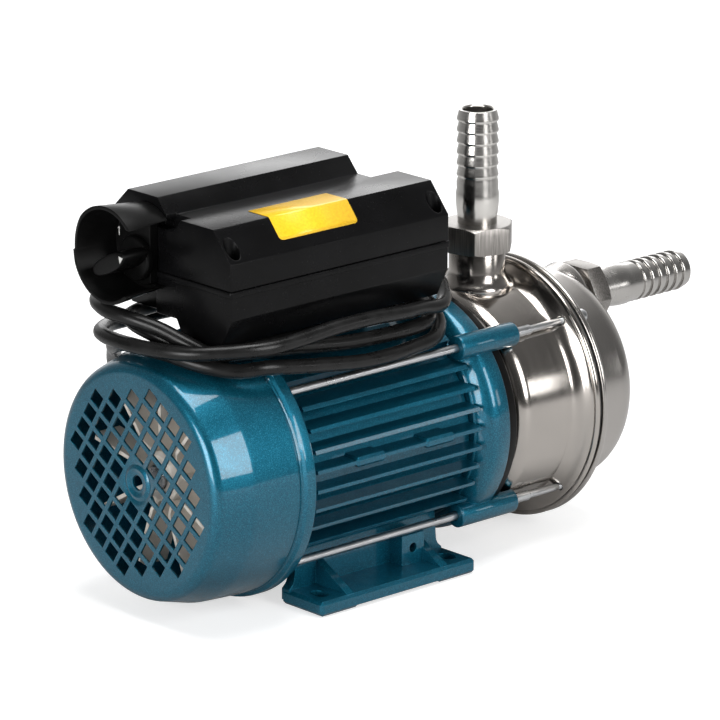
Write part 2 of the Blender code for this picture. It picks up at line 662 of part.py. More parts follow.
def make_front_flange():
    """The bracket that closes the motor and carries the pump head on four long lugs."""
    seat = BEARING_R + GAP
    bearing_rear = FRONT_BEARING_X - BEARING_WIDTH / 2
    bearing_front = FRONT_BEARING_X + BEARING_WIDTH / 2 + GAP
    spigot = FRAME_BORE_R - GAP
    profile = [(spigot - SPIGOT_WALL, FLANGE_REAR - SPIGOT_LENGTH), (spigot, FLANGE_REAR - SPIGOT_LENGTH),
               (spigot, FLANGE_REAR), (FLANGE_STEP_R, FLANGE_REAR), (FLANGE_STEP_R, FLANGE_REAR + 0.0012),
               (FLANGE_STEP_R + 0.0012, FLANGE_REAR + 0.0014), (FLANGE_STEP_R + 0.0045, FLANGE_REAR + 0.0035),
               (FLANGE_R - 0.0008, FLANGE_REAR + 0.0068), (FLANGE_R, FLANGE_REAR + 0.0095),
               (FLANGE_R, FLANGE_FRONT - 0.0008), (FLANGE_R - 0.0008, FLANGE_FRONT),
               (SHAFT_R + 0.0015, FLANGE_FRONT), (SHAFT_R + 0.0015, bearing_front), (seat, bearing_front),
               (seat, bearing_rear - 0.001), (seat + BEARING_SEAT_WALL, bearing_rear - 0.001),
               (seat + BEARING_SEAT_WALL, bearing_rear + 0.004), (spigot - SPIGOT_WALL, bearing_rear + 0.004)]
    flange = turned("front_flange", profile, TEAL, (0, 0, AXIS_HEIGHT))
    places = list(enumerate(corners()))
    for i, (y, z) in places:
        lug = rod("lug_%d" % i, LUG_R, (LUG_REAR, y, z), (LUG_FRONT, y, z), group=CUTTERS, sides=12)
        soften(lug, 0.0006)
        join(flange, lug)
    seat = stepped([(SPACER_FRONT, BOWL_R + 1.2 * GAP), (LUG_FRONT + 0.01, BOWL_R + 1.2 * GAP)])
    cut(flange, turned("bowl_seat", seat, None, (0, 0, AXIS_HEIGHT), group=CUTTERS))
    for i, (y, z) in places:
        cut(flange, rod("lug_hole_%d" % i, LUG_HOLE_R, (LUG_REAR - 0.01, y, z), (LUG_FRONT + 0.01, y, z),
                        group=CUTTERS, sides=FASTENER_STEPS))


def stepped(steps):
    """A closed turned profile along an axis from (position, radius) steps, out and back to the axis."""
    return [(0, steps[0][0])] + [(r, x) for x, r in steps] + [(0, steps[-1][0])]


def make_rods_and_studs():
    rod_profile = stepped([(SHIELD_REAR - GAP - ROD_HEAD_HEIGHT, ROD_HEAD_R * 0.85),
                           (SHIELD_REAR - GAP - ROD_HEAD_HEIGHT + 0.0006, ROD_HEAD_R),
                           (SHIELD_REAR - GAP, ROD_HEAD_R), (SHIELD_REAR - GAP, ROD_R), (ROD_END_X, ROD_R)])
    cover_face = RIM_REAR + 2 * RIM_THICKNESS + GASKET_THICKNESS + 2 * GAP
    nut_rear = cover_face + GAP
    stud_profile = stepped([(STUD_START_X, STUD_R), (LUG_FRONT + GAP, STUD_R),
                            (LUG_FRONT + GAP, STUD_COLLAR_R),
                            (LUG_FRONT + GAP + STUD_COLLAR_LENGTH, STUD_COLLAR_R),
                            (LUG_FRONT + GAP + STUD_COLLAR_LENGTH + 0.0008, STUD_R), (STUD_END_X, STUD_R)])
    nut_bore = STUD_R + GAP
    nut_profile = [(nut_bore, nut_rear), (STUD_NUT_R, nut_rear), (STUD_NUT_R, nut_rear + STUD_NUT_LENGTH - 0.001),
                   (STUD_NUT_R - 0.001, nut_rear + STUD_NUT_LENGTH), (nut_bore, nut_rear + STUD_NUT_LENGTH)]
    for i, (y, z) in enumerate(corners(), start=1):
        turned("tie_rod_%d" % i, rod_profile, ZINC, (0, y, z), steps=FASTENER_STEPS)
        turned("pump_stud_%d" % i, stud_profile, ZINC, (0, y, z), steps=FASTENER_STEPS)
        turned("stud_nut_%d" % i, nut_profile, ZINC, (0, y, z), steps=FASTENER_STEPS)


def make_stator():
    """The lamination stack with its slots, and a winding head at each end."""
    slots = 12
    slot_depth = COIL_R[1] - 0.0275
    outline = circle(FRAME_BORE_R - GAP)
    inner = []
    bore = ROTOR_R + AIR_GAP
    for i in range(slots):
        middle = 2 * math.pi * i / slots
        for a, r in ((-0.13, bore), (-0.07, bore), (-0.13, bore + slot_depth), (0.13, bore + slot_depth),
                     (0.07, bore), (0.13, bore)):
            inner.append((r * math.cos(middle + a), r * math.sin(middle + a)))
    flat("stator_core", [outline, inner], 2 * STATOR_HALF_LENGTH, LAMINATION, (ROTOR_SHIFT, 0, AXIS_HEIGHT))
    for name, sign in (("coil_end_rear", -1), ("coil_end_front", 1)):
        start = ROTOR_SHIFT + sign * (STATOR_HALF_LENGTH + GAP)
        end = start + sign * COIL_LENGTH
        bulge = sign * COIL_LENGTH * 0.25
        profile = [(COIL_R[0], start), (COIL_R[1], start), (COIL_R[1] + 0.0015, start + bulge),
                   (COIL_R[1] + 0.001, end - bulge), (COIL_R[1] - 0.002, end), (COIL_R[0] + 0.002, end),
                   (COIL_R[0] - 0.001, end - bulge)]
        turned(name, profile, COPPER, (0, 0, AXIS_HEIGHT), steps=INNER_STEPS)


def make_bearings():
    for name, x in (("rear", REAR_BEARING_X), ("front", FRONT_BEARING_X)):
        rear, front = x - BEARING_WIDTH / 2, x + BEARING_WIDTH / 2
        outer_bore = BEARING_R - BEARING_RACE
        outer = [(BEARING_R, rear), (BEARING_R, front), (outer_bore, front), (outer_bore, rear)]
        turned(name + "_bearing_outer", outer, STEEL, (0, 0, AXIS_HEIGHT), steps=INNER_STEPS)
        inner_bore = BEARING_BORE_R + GAP
        seat = outer_bore - GAP
        inner = [(seat, rear + 0.0015), (seat, front - 0.0015), (inner_bore, front - 0.0015),
                 (inner_bore, rear + 0.0015)]
        turned(name + "_bearing_inner", inner, STEEL, steps=INNER_STEPS, parent=ROTOR_AXIS)


def make_shaft_and_rotor():
    """The shaft with its rotor core shrunk on; the core's skewed bars show as a ribbed cage."""
    nut_end = IMPELLER_X + IMPELLER_THICKNESS / 2 + GAP + IMPELLER_NUT_LENGTH
    shaft = stepped([(SHAFT_REAR, SHAFT_R - 0.0023), (SHAFT_REAR + 0.0008, SHAFT_R - 0.0015),
                     (REAR_BEARING_X - BEARING_WIDTH / 2 - 0.006, SHAFT_R - 0.0015),
                     (REAR_BEARING_X - BEARING_WIDTH / 2 - 0.006, SHAFT_R),
                     (IMPELLER_X - IMPELLER_THICKNESS / 2 - 0.004, SHAFT_R),
                     (IMPELLER_X - IMPELLER_THICKNESS / 2 - 0.004, SHAFT_R - 0.0020),
                     (nut_end - 0.0015, SHAFT_R - 0.0020), (nut_end - 0.0005, SHAFT_R - 0.0030)])
    turned("motor_shaft", shaft, STEEL, steps=INNER_STEPS, parent=ROTOR_AXIS)
    bore = SHAFT_R + GAP
    rear, front = ROTOR_SHIFT - ROTOR_HALF_LENGTH, ROTOR_SHIFT + ROTOR_HALF_LENGTH
    core = [(bore, rear - 0.004), (0.0125, rear - 0.004), (0.0125, rear), (ROTOR_R - 0.005, rear),
            (ROTOR_R - 0.005, rear - 0.005), (ROTOR_R - 0.0008, rear - 0.005), (ROTOR_R - 0.0008, rear),
            (ROTOR_R, rear), (ROTOR_R, front), (ROTOR_R - 0.0008, front), (ROTOR_R - 0.0008, front + 0.005),
            (ROTOR_R - 0.005, front + 0.005), (ROTOR_R - 0.005, front), (0.0125, front),
            (0.0125, front + 0.004), (bore, front + 0.004)]
    turned("rotor_core", core, LAMINATION, steps=INNER_STEPS, parent=ROTOR_AXIS)


def make_fan():
    """The cooling fan: a hub, a back disc, and straight radial blades that reach past the disc."""
    shaft = SHAFT_R - 0.0015 + GAP
    disc_rear = FAN_REAR + FAN_DEPTH - FAN_DISC_THICKNESS
    profile = [(shaft, FAN_REAR + 0.001), (FAN_HUB_R - 0.0015, FAN_REAR + 0.001), (FAN_HUB_R, FAN_REAR + 0.003),
               (FAN_HUB_R + 0.001, disc_rear), (FAN_DISC_R, disc_rear), (FAN_DISC_R, FAN_REAR + FAN_DEPTH),
               (shaft, FAN_REAR + FAN_DEPTH)]
    fan = turned("cooling_fan", profile, FAN_PLASTIC, steps=SMALL_STEPS, parent=ROTOR_AXIS)
    clear = COVER_WALL + 0.0015
    inner_x = FAN_REAR + 0.002
    outline = [(FAN_HUB_R - 0.001, disc_rear + FAN_DISC_THICKNESS / 2), (FAN_HUB_R - 0.001, inner_x + 0.004),
               (FAN_HUB_R + 0.006, inner_x), (FAN_TIP_R - 0.003, inner_x), (FAN_TIP_R, inner_x + 0.004),
               (FAN_TIP_R + 0.0020 - clear / 2, FAN_REAR + FAN_DEPTH - 0.0005),
               (FAN_DISC_R - 0.001, FAN_REAR + FAN_DEPTH - 0.0005)]
    for i in range(FAN_BLADES):
        a = 2 * math.pi * i / FAN_BLADES
        spin = Matrix.Rotation(a, 4, "X") @ Matrix(((0, 1, 0, 0), (0, 0, 1, 0), (1, 0, 0, 0), (0, 0, 0, 1)))
        join(fan, flat("fan_blade_%d" % i, [outline], FAN_BLADE_THICKNESS, None, turn=spin,
                       parent=ROTOR_AXIS, group=CUTTERS))


def make_impeller():
    """The impeller: a disc with short vanes on both faces near its edge, on a keyed hub."""
    rear, front = IMPELLER_X - IMPELLER_THICKNESS / 2, IMPELLER_X + IMPELLER_THICKNESS / 2
    bore = SHAFT_R - 0.0020 + GAP
    profile = [(bore, rear - 0.004), (IMPELLER_HUB_R, rear - 0.004), (IMPELLER_HUB_R, rear + 0.001),
               (IMPELLER_R - VANE_DEPTH - 0.002, rear + 0.001), (IMPELLER_R - VANE_DEPTH, rear + 0.002),
               (IMPELLER_R - VANE_DEPTH, front - 0.002), (IMPELLER_R - VANE_DEPTH - 0.002, front - 0.001),
               (IMPELLER_HUB_R, front - 0.001), (IMPELLER_HUB_R, front), (bore, front)]
    impeller = turned("impeller", profile, STAINLESS, steps=SMALL_STEPS, parent=ROTOR_AXIS)
    for i in range(IMPELLER_VANES):
        a = 2 * math.pi * i / IMPELLER_VANES
        vane = block("vane_%d" % i, (rear, IMPELLER_R - VANE_DEPTH - 0.003, -0.0009),
                     (front, IMPELLER_R, 0.0009), parent=ROTOR_AXIS, group=CUTTERS)
        middle = IMPELLER_R - (VANE_DEPTH + 0.003) / 2
        vane.location = (IMPELLER_X, middle * math.cos(a), middle * math.sin(a))
        vane.rotation_euler = (a, 0, 0)
        join(impeller, vane)
    bore /= math.cos(math.radians(30))
    nut = [(bore, front + GAP), (IMPELLER_NUT_R, front + GAP), (IMPELLER_NUT_R, front + IMPELLER_NUT_LENGTH - 0.001),
           (IMPELLER_NUT_R - 0.001, front + IMPELLER_NUT_LENGTH), (bore, front + IMPELLER_NUT_LENGTH)]
    turned("impeller_nut", nut, STAINLESS, steps=6, parent=ROTOR_AXIS)


def make_seal():
    """The shaft seal: a still seat in the bowl's back and a head that turns with the shaft."""
    seat_rear = BOWL_REAR - 0.003
    seat_front = BOWL_REAR + SHEET + 0.003
    collar = BOWL_SHAFT_R - GAP
    seat = [(SHAFT_R + 0.0012, seat_rear), (collar, seat_rear), (collar, BOWL_REAR + SHEET + GAP),
            (SEAL_R, BOWL_REAR + SHEET + GAP), (SEAL_R, seat_front), (SHAFT_R + 0.0012, seat_front)]
    turned("seal_seat", seat, CARBON, (0, 0, AXIS_HEIGHT), steps=INNER_STEPS)
    head_rear = seat_front + GAP
    head_front = IMPELLER_X - IMPELLER_THICKNESS / 2 - 0.004 - GAP
    bore = SHAFT_R + GAP
    head = [(bore, head_rear), (SEAL_R - 0.0015, head_rear), (SEAL_R - 0.0015, head_rear + 0.003),
            (SEAL_R, head_rear + 0.004), (SEAL_R, head_front - 0.012), (SEAL_R - 0.002, head_front - 0.011),
            (SEAL_R - 0.002, head_front), (bore, head_front)]
    turned("seal_head", head, CARBON, steps=INNER_STEPS, parent=ROTOR_AXIS)


def make_rear_casing():
    """The deep-drawn bowl with its rolled rim, and the welded discharge socket on top."""
    corner = (BOWL_R - BOWL_CORNER_R, BOWL_REAR + BOWL_CORNER_R)
    step = RIM_REAR - 0.0075
    outer = [(BOWL_SHAFT_R, BOWL_REAR)] + arc(corner, BOWL_CORNER_R, 270, 360, 5)
    outer += [(BOWL_R, step), (BOWL_R + 0.0012, step + 0.0028), (BOWL_R + 0.0042, step + 0.0056),
              (RIM_R - 0.0022, RIM_REAR - 0.0004), (RIM_R - 0.0004, RIM_REAR + 0.0006),
              (RIM_R, RIM_REAR + RIM_THICKNESS / 2), (RIM_R - 0.0006, RIM_REAR + RIM_THICKNESS)]
    inner = [(BOWL_R - SHEET + 0.0002, RIM_REAR + RIM_THICKNESS), (BOWL_R - SHEET, step)]
    inner += arc(corner, BOWL_CORNER_R - SHEET, 360, 270, 4) + [(BOWL_SHAFT_R, BOWL_REAR + SHEET)]
    casing = turned("rear_casing", outer + inner, STAINLESS, (0, 0, AXIS_HEIGHT))
    base = AXIS_HEIGHT + BOWL_R - SHEET + 0.0002
    socket = stepped([(base - 0.0022, SOCKET_FLARE_R - 0.002), (base + 0.0018, SOCKET_FLARE_R - 0.001),
                      (base + 0.0050, SOCKET_R + 0.0016), (base + 0.0085, SOCKET_R),
                      (DISCHARGE_SOCKET_TOP - 0.0008, SOCKET_R),
                      (DISCHARGE_SOCKET_TOP, SOCKET_R - 0.0008)])
    join(casing, turned("discharge_socket", socket, None, (DISCHARGE_X, 0, 0), UPRIGHT, SMALL_STEPS, group=CUTTERS))
    inside_r = BOWL_R - SHEET - 0.0001
    inside = turned("bowl_inside", stepped([(BOWL_REAR + SHEET + 0.0012, inside_r - 0.006),
                                            (BOWL_REAR + BOWL_CORNER_R + 0.0004, inside_r),
                                            (RIM_REAR + RIM_THICKNESS + 0.005, inside_r)]), None,
                    (0, 0, AXIS_HEIGHT), group=CUTTERS)
    cut(casing, inside)
    cut(casing, rod("discharge_bore", PORT_BORE_R, (DISCHARGE_X, 0, AXIS_HEIGHT + BOWL_R - 0.012),
                    (DISCHARGE_X, 0, DISCHARGE_SOCKET_TOP + 0.01), group=CUTTERS))
    for i, (y, z) in enumerate(corners()):
        cut(casing, rod("rim_hole_%d" % i, STUD_HOLE_R, (RIM_REAR - 0.015, y, z), (RIM_REAR + 0.01, y, z),
                        group=CUTTERS, sides=FASTENER_STEPS))


def make_head_cover():
    """The front cover: a rolled rim, a drum with a generous corner, and the welded suction socket."""
    rear = RIM_REAR + RIM_THICKNESS + GASKET_THICKNESS + 2 * GAP
    flange = rear + RIM_THICKNESS
    corner = (HEAD_COVER_R - HEAD_CORNER_R, HEAD_COVER_FRONT - HEAD_CORNER_R)
    outer = [(RIM_R - 0.0006, rear), (RIM_R, rear + RIM_THICKNESS / 2), (RIM_R - 0.0006, flange - 0.0002),
             (RIM_R - 0.0020, flange), (HEAD_COVER_R, flange)]
    outer += arc(corner, HEAD_CORNER_R, 0, 90, 7) + [(0, HEAD_COVER_FRONT)]
    inner = [(0, HEAD_COVER_FRONT - SHEET)] + arc(corner, HEAD_CORNER_R - SHEET, 90, 0, 5)
    inner += [(HEAD_COVER_R - SHEET, rear)]
    cover = turned("front_cover", outer + inner, STAINLESS, (0, 0, AXIS_HEIGHT))
    socket = stepped([(HEAD_COVER_FRONT - HEAD_CORNER_R, SOCKET_FLARE_R - 0.0030),
                      (HEAD_COVER_FRONT - 0.0015, SOCKET_FLARE_R), (HEAD_COVER_FRONT + 0.0020, SOCKET_R + 0.0020),
                      (HEAD_COVER_FRONT + 0.0065, SOCKET_R), (SUCTION_SOCKET_END - 0.0008, SOCKET_R),
                      (SUCTION_SOCKET_END, SOCKET_R - 0.0008)])
    join(cover, turned("suction_socket", socket, None, (0, 0, SUCTION_Z), ALONG_X, SMALL_STEPS, group=CUTTERS))
    inside = turned("cover_inside", stepped([(rear - 0.005, HEAD_COVER_R - SHEET - 0.0001)]
                                            + [(z - 0.0002, r - 0.0001) for r, z in
                                               arc(corner, HEAD_CORNER_R - SHEET, 0, 90, 5)]),
                    None, (0, 0, AXIS_HEIGHT), group=CUTTERS)
    cut(cover, inside)
    cut(cover, rod("suction_bore", PORT_BORE_R, (HEAD_COVER_FRONT - 0.012, 0, SUCTION_Z),
                   (SUCTION_SOCKET_END + 0.01, 0, SUCTION_Z), group=CUTTERS))
    for i, (y, z) in enumerate(corners()):
        cut(cover, rod("cover_hole_%d" % i, STUD_HOLE_R, (rear - 0.005, y, z), (flange + 0.005, y, z),
                       group=CUTTERS, sides=FASTENER_STEPS))


def make_gasket_and_liner():
    rear = RIM_REAR + RIM_THICKNESS + GAP
    ring = [(BOWL_R - SHEET + 0.0004, rear), (RIM_R - 0.0015, rear), (RIM_R - 0.0015, rear + GASKET_THICKNESS),
            (BOWL_R - SHEET + 0.0004, rear + GASKET_THICKNESS)]
    gasket = turned("casing_gasket", ring, RUBBER, (0, 0, AXIS_HEIGHT))
    for i, (y, z) in enumerate(corners()):
        cut(gasket, rod("gasket_hole_%d" % i, STUD_HOLE_R, (rear - 0.005, y, z), (rear + 0.008, y, z),
                        group=CUTTERS, sides=FASTENER_STEPS))
    wear = BOWL_R - SHEET - GAP
    plate = [(LINER_BORE_R, LINER_X), (wear, LINER_X), (wear, LINER_X + LINER_THICKNESS),
             (LINER_BORE_R, LINER_X + LINER_THICKNESS)]
    liner = turned("wear_plate", plate, STAINLESS, (0, 0, AXIS_HEIGHT))
    cut(liner, block("wear_plate_port", (LINER_X - 0.01, -0.012, AXIS_HEIGHT + 0.030),
                     (LINER_X + 0.02, 0.012, AXIS_HEIGHT + 0.045), group=CUTTERS))
    ring = [(SPACER_BORE_R, FLANGE_FRONT + GAP), (SPACER_R, FLANGE_FRONT + GAP),
            (SPACER_R - 0.0010, FLANGE_FRONT + 0.0040), (SPACER_R - 0.0060, SPACER_FRONT),
            (SPACER_BORE_R, SPACER_FRONT)]
    spacer = turned("spacer_ring", ring, RUBBER, (0, 0, AXIS_HEIGHT))
    for i, (y, z) in enumerate(corners()):
        cut(spacer, rod("spacer_notch_%d" % i, LUG_R + 2 * GAP, (FLANGE_FRONT - 0.005, y, z),
                        (SPACER_FRONT + 0.005, y, z), group=CUTTERS, sides=12))


def make_barb(name, place, turn):
    """A hose barb: a hex on its seat, a plain neck, then ridges that widen towards the neck."""
    inner = BARB_R - BARB_BITE - BARB_WALL
    start = HEX_LENGTH * 0.4
    base = HEX_LENGTH + BARB_NECK
    end = base + BARB_RIDGES * BARB_PITCH
    profile = [(inner, start), (BARB_R - 0.0006, start), (BARB_R - 0.0006, HEX_LENGTH + 0.0030),
               (BARB_R + 0.0003, HEX_LENGTH + BARB_NECK * 0.5), (BARB_R - 0.0006, base)]
    for i in range(BARB_RIDGES):
        low = base + i * BARB_PITCH
        profile += [(BARB_R, low), (BARB_R - BARB_BITE, low + BARB_PITCH * 0.97)]
    profile += [(inner + 0.0004, end), (inner, end - 0.0006)]
    barb = turned(name, profile, STAINLESS, place, turn, BARB_STEPS)
    corner_r = HEX_ACROSS_FLATS / 2 / math.cos(math.radians(30))
    nut = bmesh.new()
    bmesh.ops.create_cone(nut, cap_ends=True, segments=6, radius1=corner_r, radius2=corner_r, depth=HEX_LENGTH,
                          matrix=Matrix.Translation((0, 0, HEX_LENGTH / 2)) @ Matrix.Rotation(BARB_SPIN, 4, "Z"))
    solid = place_object(mesh_object(name + "_hex", finish_mesh(nut, name + "_hex", smooth=False)), place, turn,
                         group=CUTTERS)
    flat_r = HEX_ACROSS_FLATS / 2
    chamfer = stepped([(-0.001, flat_r - 0.0012), (0.0, flat_r - 0.0002), (0.0018, corner_r + 0.0003),
                       (HEX_LENGTH - 0.0018, corner_r + 0.0003), (HEX_LENGTH, flat_r - 0.0002),
                       (HEX_LENGTH + 0.001, flat_r - 0.0012)])
    combine(solid, turned(name + "_chamfer", chamfer, None, place, turn, 12, group=CUTTERS), "INTERSECT")
    join(barb, solid)
    cut(barb, turned(name + "_bore", stepped([(-0.005, inner), (end + 0.005, inner)]), None, place, turn,
                     BARB_STEPS, group=CUTTERS))


def make_barbs():
    make_barb("discharge_barb", (DISCHARGE_X, 0, DISCHARGE_SOCKET_TOP + GAP), UPRIGHT)
    make_barb("suction_barb", (SUCTION_SOCKET_END + GAP, 0, SUCTION_Z), ALONG_X)


def inset(points, distance):
    """A closed outline moved inwards by a distance. The points run clockwise or anticlockwise."""
    sign = 1 if loop_area(points) > 0 else -1
    count = len(points)
    result = []
    for i in range(count):
        before, here, after = (Vector(points[(i + k) % count]) for k in (-1, 0, 1))
        first, second = (here - before).normalized(), (after - here).normalized()
        normal_a = Vector((-first.y, first.x)) * sign
        normal_b = Vector((-second.y, second.x)) * sign
        middle = (normal_a + normal_b).normalized()
        result.append(tuple(here + middle * distance / max(middle.dot(normal_a), 0.3)))
    return result


def lid_outline(bottom):
    """The lid's end view: near chamfer, plateau, ridge and far slope, down to a level."""
    w = BOX_HALF_WIDTH
    return [(-w, bottom), (-w, BOX_SHOULDER_Z), (-0.028, BOX_PLATEAU_Z), (0.0035, BOX_PLATEAU_Z),
            (0.0104, BOX_RIDGE_Z), (0.031, BOX_RIDGE_Z), (w, BOX_RIDGE_Z - 0.0085), (w, bottom)]


def base_outline(top):
    """The base's end view: a deep trough on the near side and a higher floor on the far side."""
    w = BOX_HALF_WIDTH
    return [(-w, top), (-w, 0.1453), (-0.033, BOX_FLOOR_Z), (-0.006, BOX_FLOOR_Z),
            (-0.002, BOX_HIGH_FLOOR_Z), (0.034, BOX_HIGH_FLOOR_Z), (w, 0.1460), (w, top)]


def box_corners():
    """Corner columns of the box as (x, y), set in from its walls."""
    inset_by = BOX_SCREW_INSET
    return [(BOX_REAR + inset_by, -BOX_HALF_WIDTH + inset_by), (BOX_FRONT - inset_by, -BOX_HALF_WIDTH + inset_by),
            (BOX_REAR + RECESS_DEPTH + inset_by, BOX_HALF_WIDTH - inset_by),
            (BOX_RIDGE_FRONT - inset_by, BOX_HALF_WIDTH - inset_by)]


def footprint_tools(tag, low, high, wall=0.0):
    """Cutters for the step at the box's front and, under the ridge's end, the switch's recess."""
    front = block("box_front_step_" + tag, (BOX_RIDGE_FRONT - wall, BOX_STEP_Y - wall, low), (0.07, 0.06, high),
                  group=CUTTERS)
    rear = block("box_rear_step_" + tag, (BOX_REAR - 0.02, RECESS_Y - wall, low),
                 (BOX_REAR + RECESS_DEPTH + wall, 0.06, RECESS_TOP_Z + wall), group=CUTTERS)
    return front, rear


def prism(name, outline, start, end, material=None, group=None):
    return flat(name, [outline], end - start, material, ((start + end) / 2, 0, 0), group=group)


def make_box_shell(name, outline, cavity, low, high):
    """One half of the box: its prism, stepped in plan, hollowed to its wall."""
    shell = prism(name, outline, BOX_REAR, BOX_FRONT, BLACK)
    soften(shell, 0.0009, 1, 20)
    cut(shell, *footprint_tools(name, low, high))
    hollow = prism(name + "_cavity", cavity, BOX_REAR + BOX_WALL, BOX_FRONT - BOX_WALL, group=CUTTERS)
    cut(hollow, *footprint_tools(name + "_inner", low - 0.01, high + 0.01, BOX_WALL))
    cut(shell, hollow)
    return shell


def make_lid():
    outline = lid_outline(BOX_SEAM_Z + GAP)
    cavity = inset(lid_outline(BOX_SEAM_Z - 0.02), BOX_WALL)
    lid = make_box_shell("box_lid", outline, cavity, BOX_SEAM_Z - 0.03, BOX_RIDGE_Z + 0.02)
    lining = block("notch_lining", (BOX_REAR + 0.0002, -0.0085, NOTCH_Z - BOX_WALL),
                   (BOX_REAR + NOTCH_DEPTH + BOX_WALL, RECESS_Y - 0.0002, BOX_PLATEAU_Z - 0.0010), group=CUTTERS)
    join(lid, lining)
    over = BOX_PLATEAU_Z + 0.0012
    notch = [(-0.0069, over), (-0.0005, NOTCH_Z), (RECESS_Y + 0.0001, NOTCH_Z), (RECESS_Y + 0.0001, RECESS_TOP_Z),
             (0.0042, RECESS_TOP_Z), (0.0042, over)]
    cut(lid, prism("notch", notch, BOX_REAR - 0.01, BOX_REAR + NOTCH_DEPTH, group=CUTTERS))
    add_columns(lid, "lid", BOX_SEAM_Z + GAP, BOX_SHOULDER_Z)


def add_columns(shell, tag, low, high):
    """The corner columns that hold the box's screws, with a blind bore up to each screw's seat."""
    for i, (x, y) in enumerate(box_corners()):
        column = rod("%s_column_%d" % (tag, i), BOX_SCREW_COLUMN_R, (x, y, low), (x, y, high),
                     group=CUTTERS, sides=10)
        join(shell, column)
    for i, (x, y) in enumerate(box_corners()):
        bore = rod("%s_bore_%d" % (tag, i), 0.0018, (x, y, low - 0.02), (x, y, high + 0.02),
                   group=CUTTERS, sides=FASTENER_STEPS)
        cut(shell, bore)
        if tag == "lid":
            funnel = rod("lid_funnel_%d" % i, BOX_SCREW_HEAD_R + 0.0004, (x, y, BOX_SCREW_SEAT_Z),
                         (x, y, BOX_SHOULDER_Z + 0.02), end_radius=BOX_SCREW_HEAD_R + 0.0038,
                         group=CUTTERS, sides=10)
            cut(shell, funnel)


def make_base():
    outline = base_outline(BOX_SEAM_Z)
    cavity = inset(base_outline(BOX_SEAM_Z + 0.02), BOX_WALL)
    base = make_box_shell("box_base", outline, cavity, BOX_FLOOR_Z - 0.02, BOX_SEAM_Z + 0.03)
    neck = block("base_neck", (PAD_X[0], PAD_Y[0], PAD_TOP_Z + 2 * GAP + 0.0015),
                 (PAD_X[1], PAD_Y[1], BOX_HIGH_FLOOR_Z + 0.001), group=CUTTERS)
    join(base, neck)
    entry = block("cord_hood", (HOOD_FRONT - HOOD_LENGTH, GLAND_Y - HOOD_HALF_WIDTH, GLAND_Z - GLAND_R),
                  (HOOD_FRONT, GLAND_Y + HOOD_HALF_WIDTH, BOX_FLOOR_Z + 0.001), group=CUTTERS)
    join(base, entry)
    add_columns(base, "base", 0.1475, BOX_SEAM_Z)
    return base


def clear_collar(base):
    """Cuts the seam band back where the switch's collar sits on the box's end."""
    cut(base, rod("collar_seat", COLLAR_BASE_R + 2 * GAP, (BOX_REAR - 0.004, SWITCH_Y, SWITCH_Z),
                  (BOX_REAR - 0.0001, SWITCH_Y, SWITCH_Z), group=CUTTERS, sides=ROUND_STEPS))


def make_box():
    base = make_base()
    make_lid()
    add_seam_band(base)
    clear_collar(base)
    gasket = block("box_gasket", (PAD_X[0] + 0.001, PAD_Y[0] + 0.001, PAD_TOP_Z + GAP),
                   (PAD_X[1] - 0.001, PAD_Y[1] - 0.001, PAD_TOP_Z + GAP + 0.0015), RUBBER)
    soften(gasket, 0.0003)
    screw = stepped([(-0.0120, 0.0012), (-0.0110, 0.0015), (0.0, 0.0015), (0.0, BOX_SCREW_HEAD_R),
                     (0.0008, BOX_SCREW_HEAD_R), (0.0018, BOX_SCREW_HEAD_R * 0.8), (0.0023, BOX_SCREW_HEAD_R * 0.4)])
    for i, (x, y) in enumerate(box_corners(), start=1):
        turned("box_screw_%d" % i, screw, ZINC, (x, y, BOX_SCREW_SEAT_Z + GAP), UPRIGHT, FASTENER_STEPS)


def add_seam_band(base):
    """A raised band that runs round the top of the base, under the seam."""
    recessed = BOX_REAR + RECESS_DEPTH
    band = [(BOX_REAR, -BOX_HALF_WIDTH), (BOX_FRONT, -BOX_HALF_WIDTH), (BOX_FRONT, BOX_STEP_Y),
            (BOX_RIDGE_FRONT, BOX_STEP_Y), (BOX_RIDGE_FRONT, BOX_HALF_WIDTH), (recessed, BOX_HALF_WIDTH),
            (recessed, RECESS_Y), (BOX_REAR, RECESS_Y)]
    ring = flat("seam_band", [inset(band, -SEAM_BAND), inset(band, BOX_WALL * 0.5)], SEAM_BAND_HEIGHT, None,
                (0, 0, BOX_SEAM_Z - SEAM_BAND_HEIGHT / 2), UPRIGHT, group=CUTTERS)
    join(base, ring)


def make_capacitor():
    start = BOX_REAR + BOX_WALL + 0.012
    profile = stepped([(0, CAPACITOR_R - 0.001), (0.001, CAPACITOR_R), (CAPACITOR_LENGTH - 0.001, CAPACITOR_R),
                       (CAPACITOR_LENGTH, CAPACITOR_R - 0.001), (CAPACITOR_LENGTH, 0.006),
                       (CAPACITOR_LENGTH + 0.005, 0.006)])
    turned("run_capacitor", profile, ZINC, (start, CAPACITOR_Y, CAPACITOR_Z), steps=SMALL_STEPS)


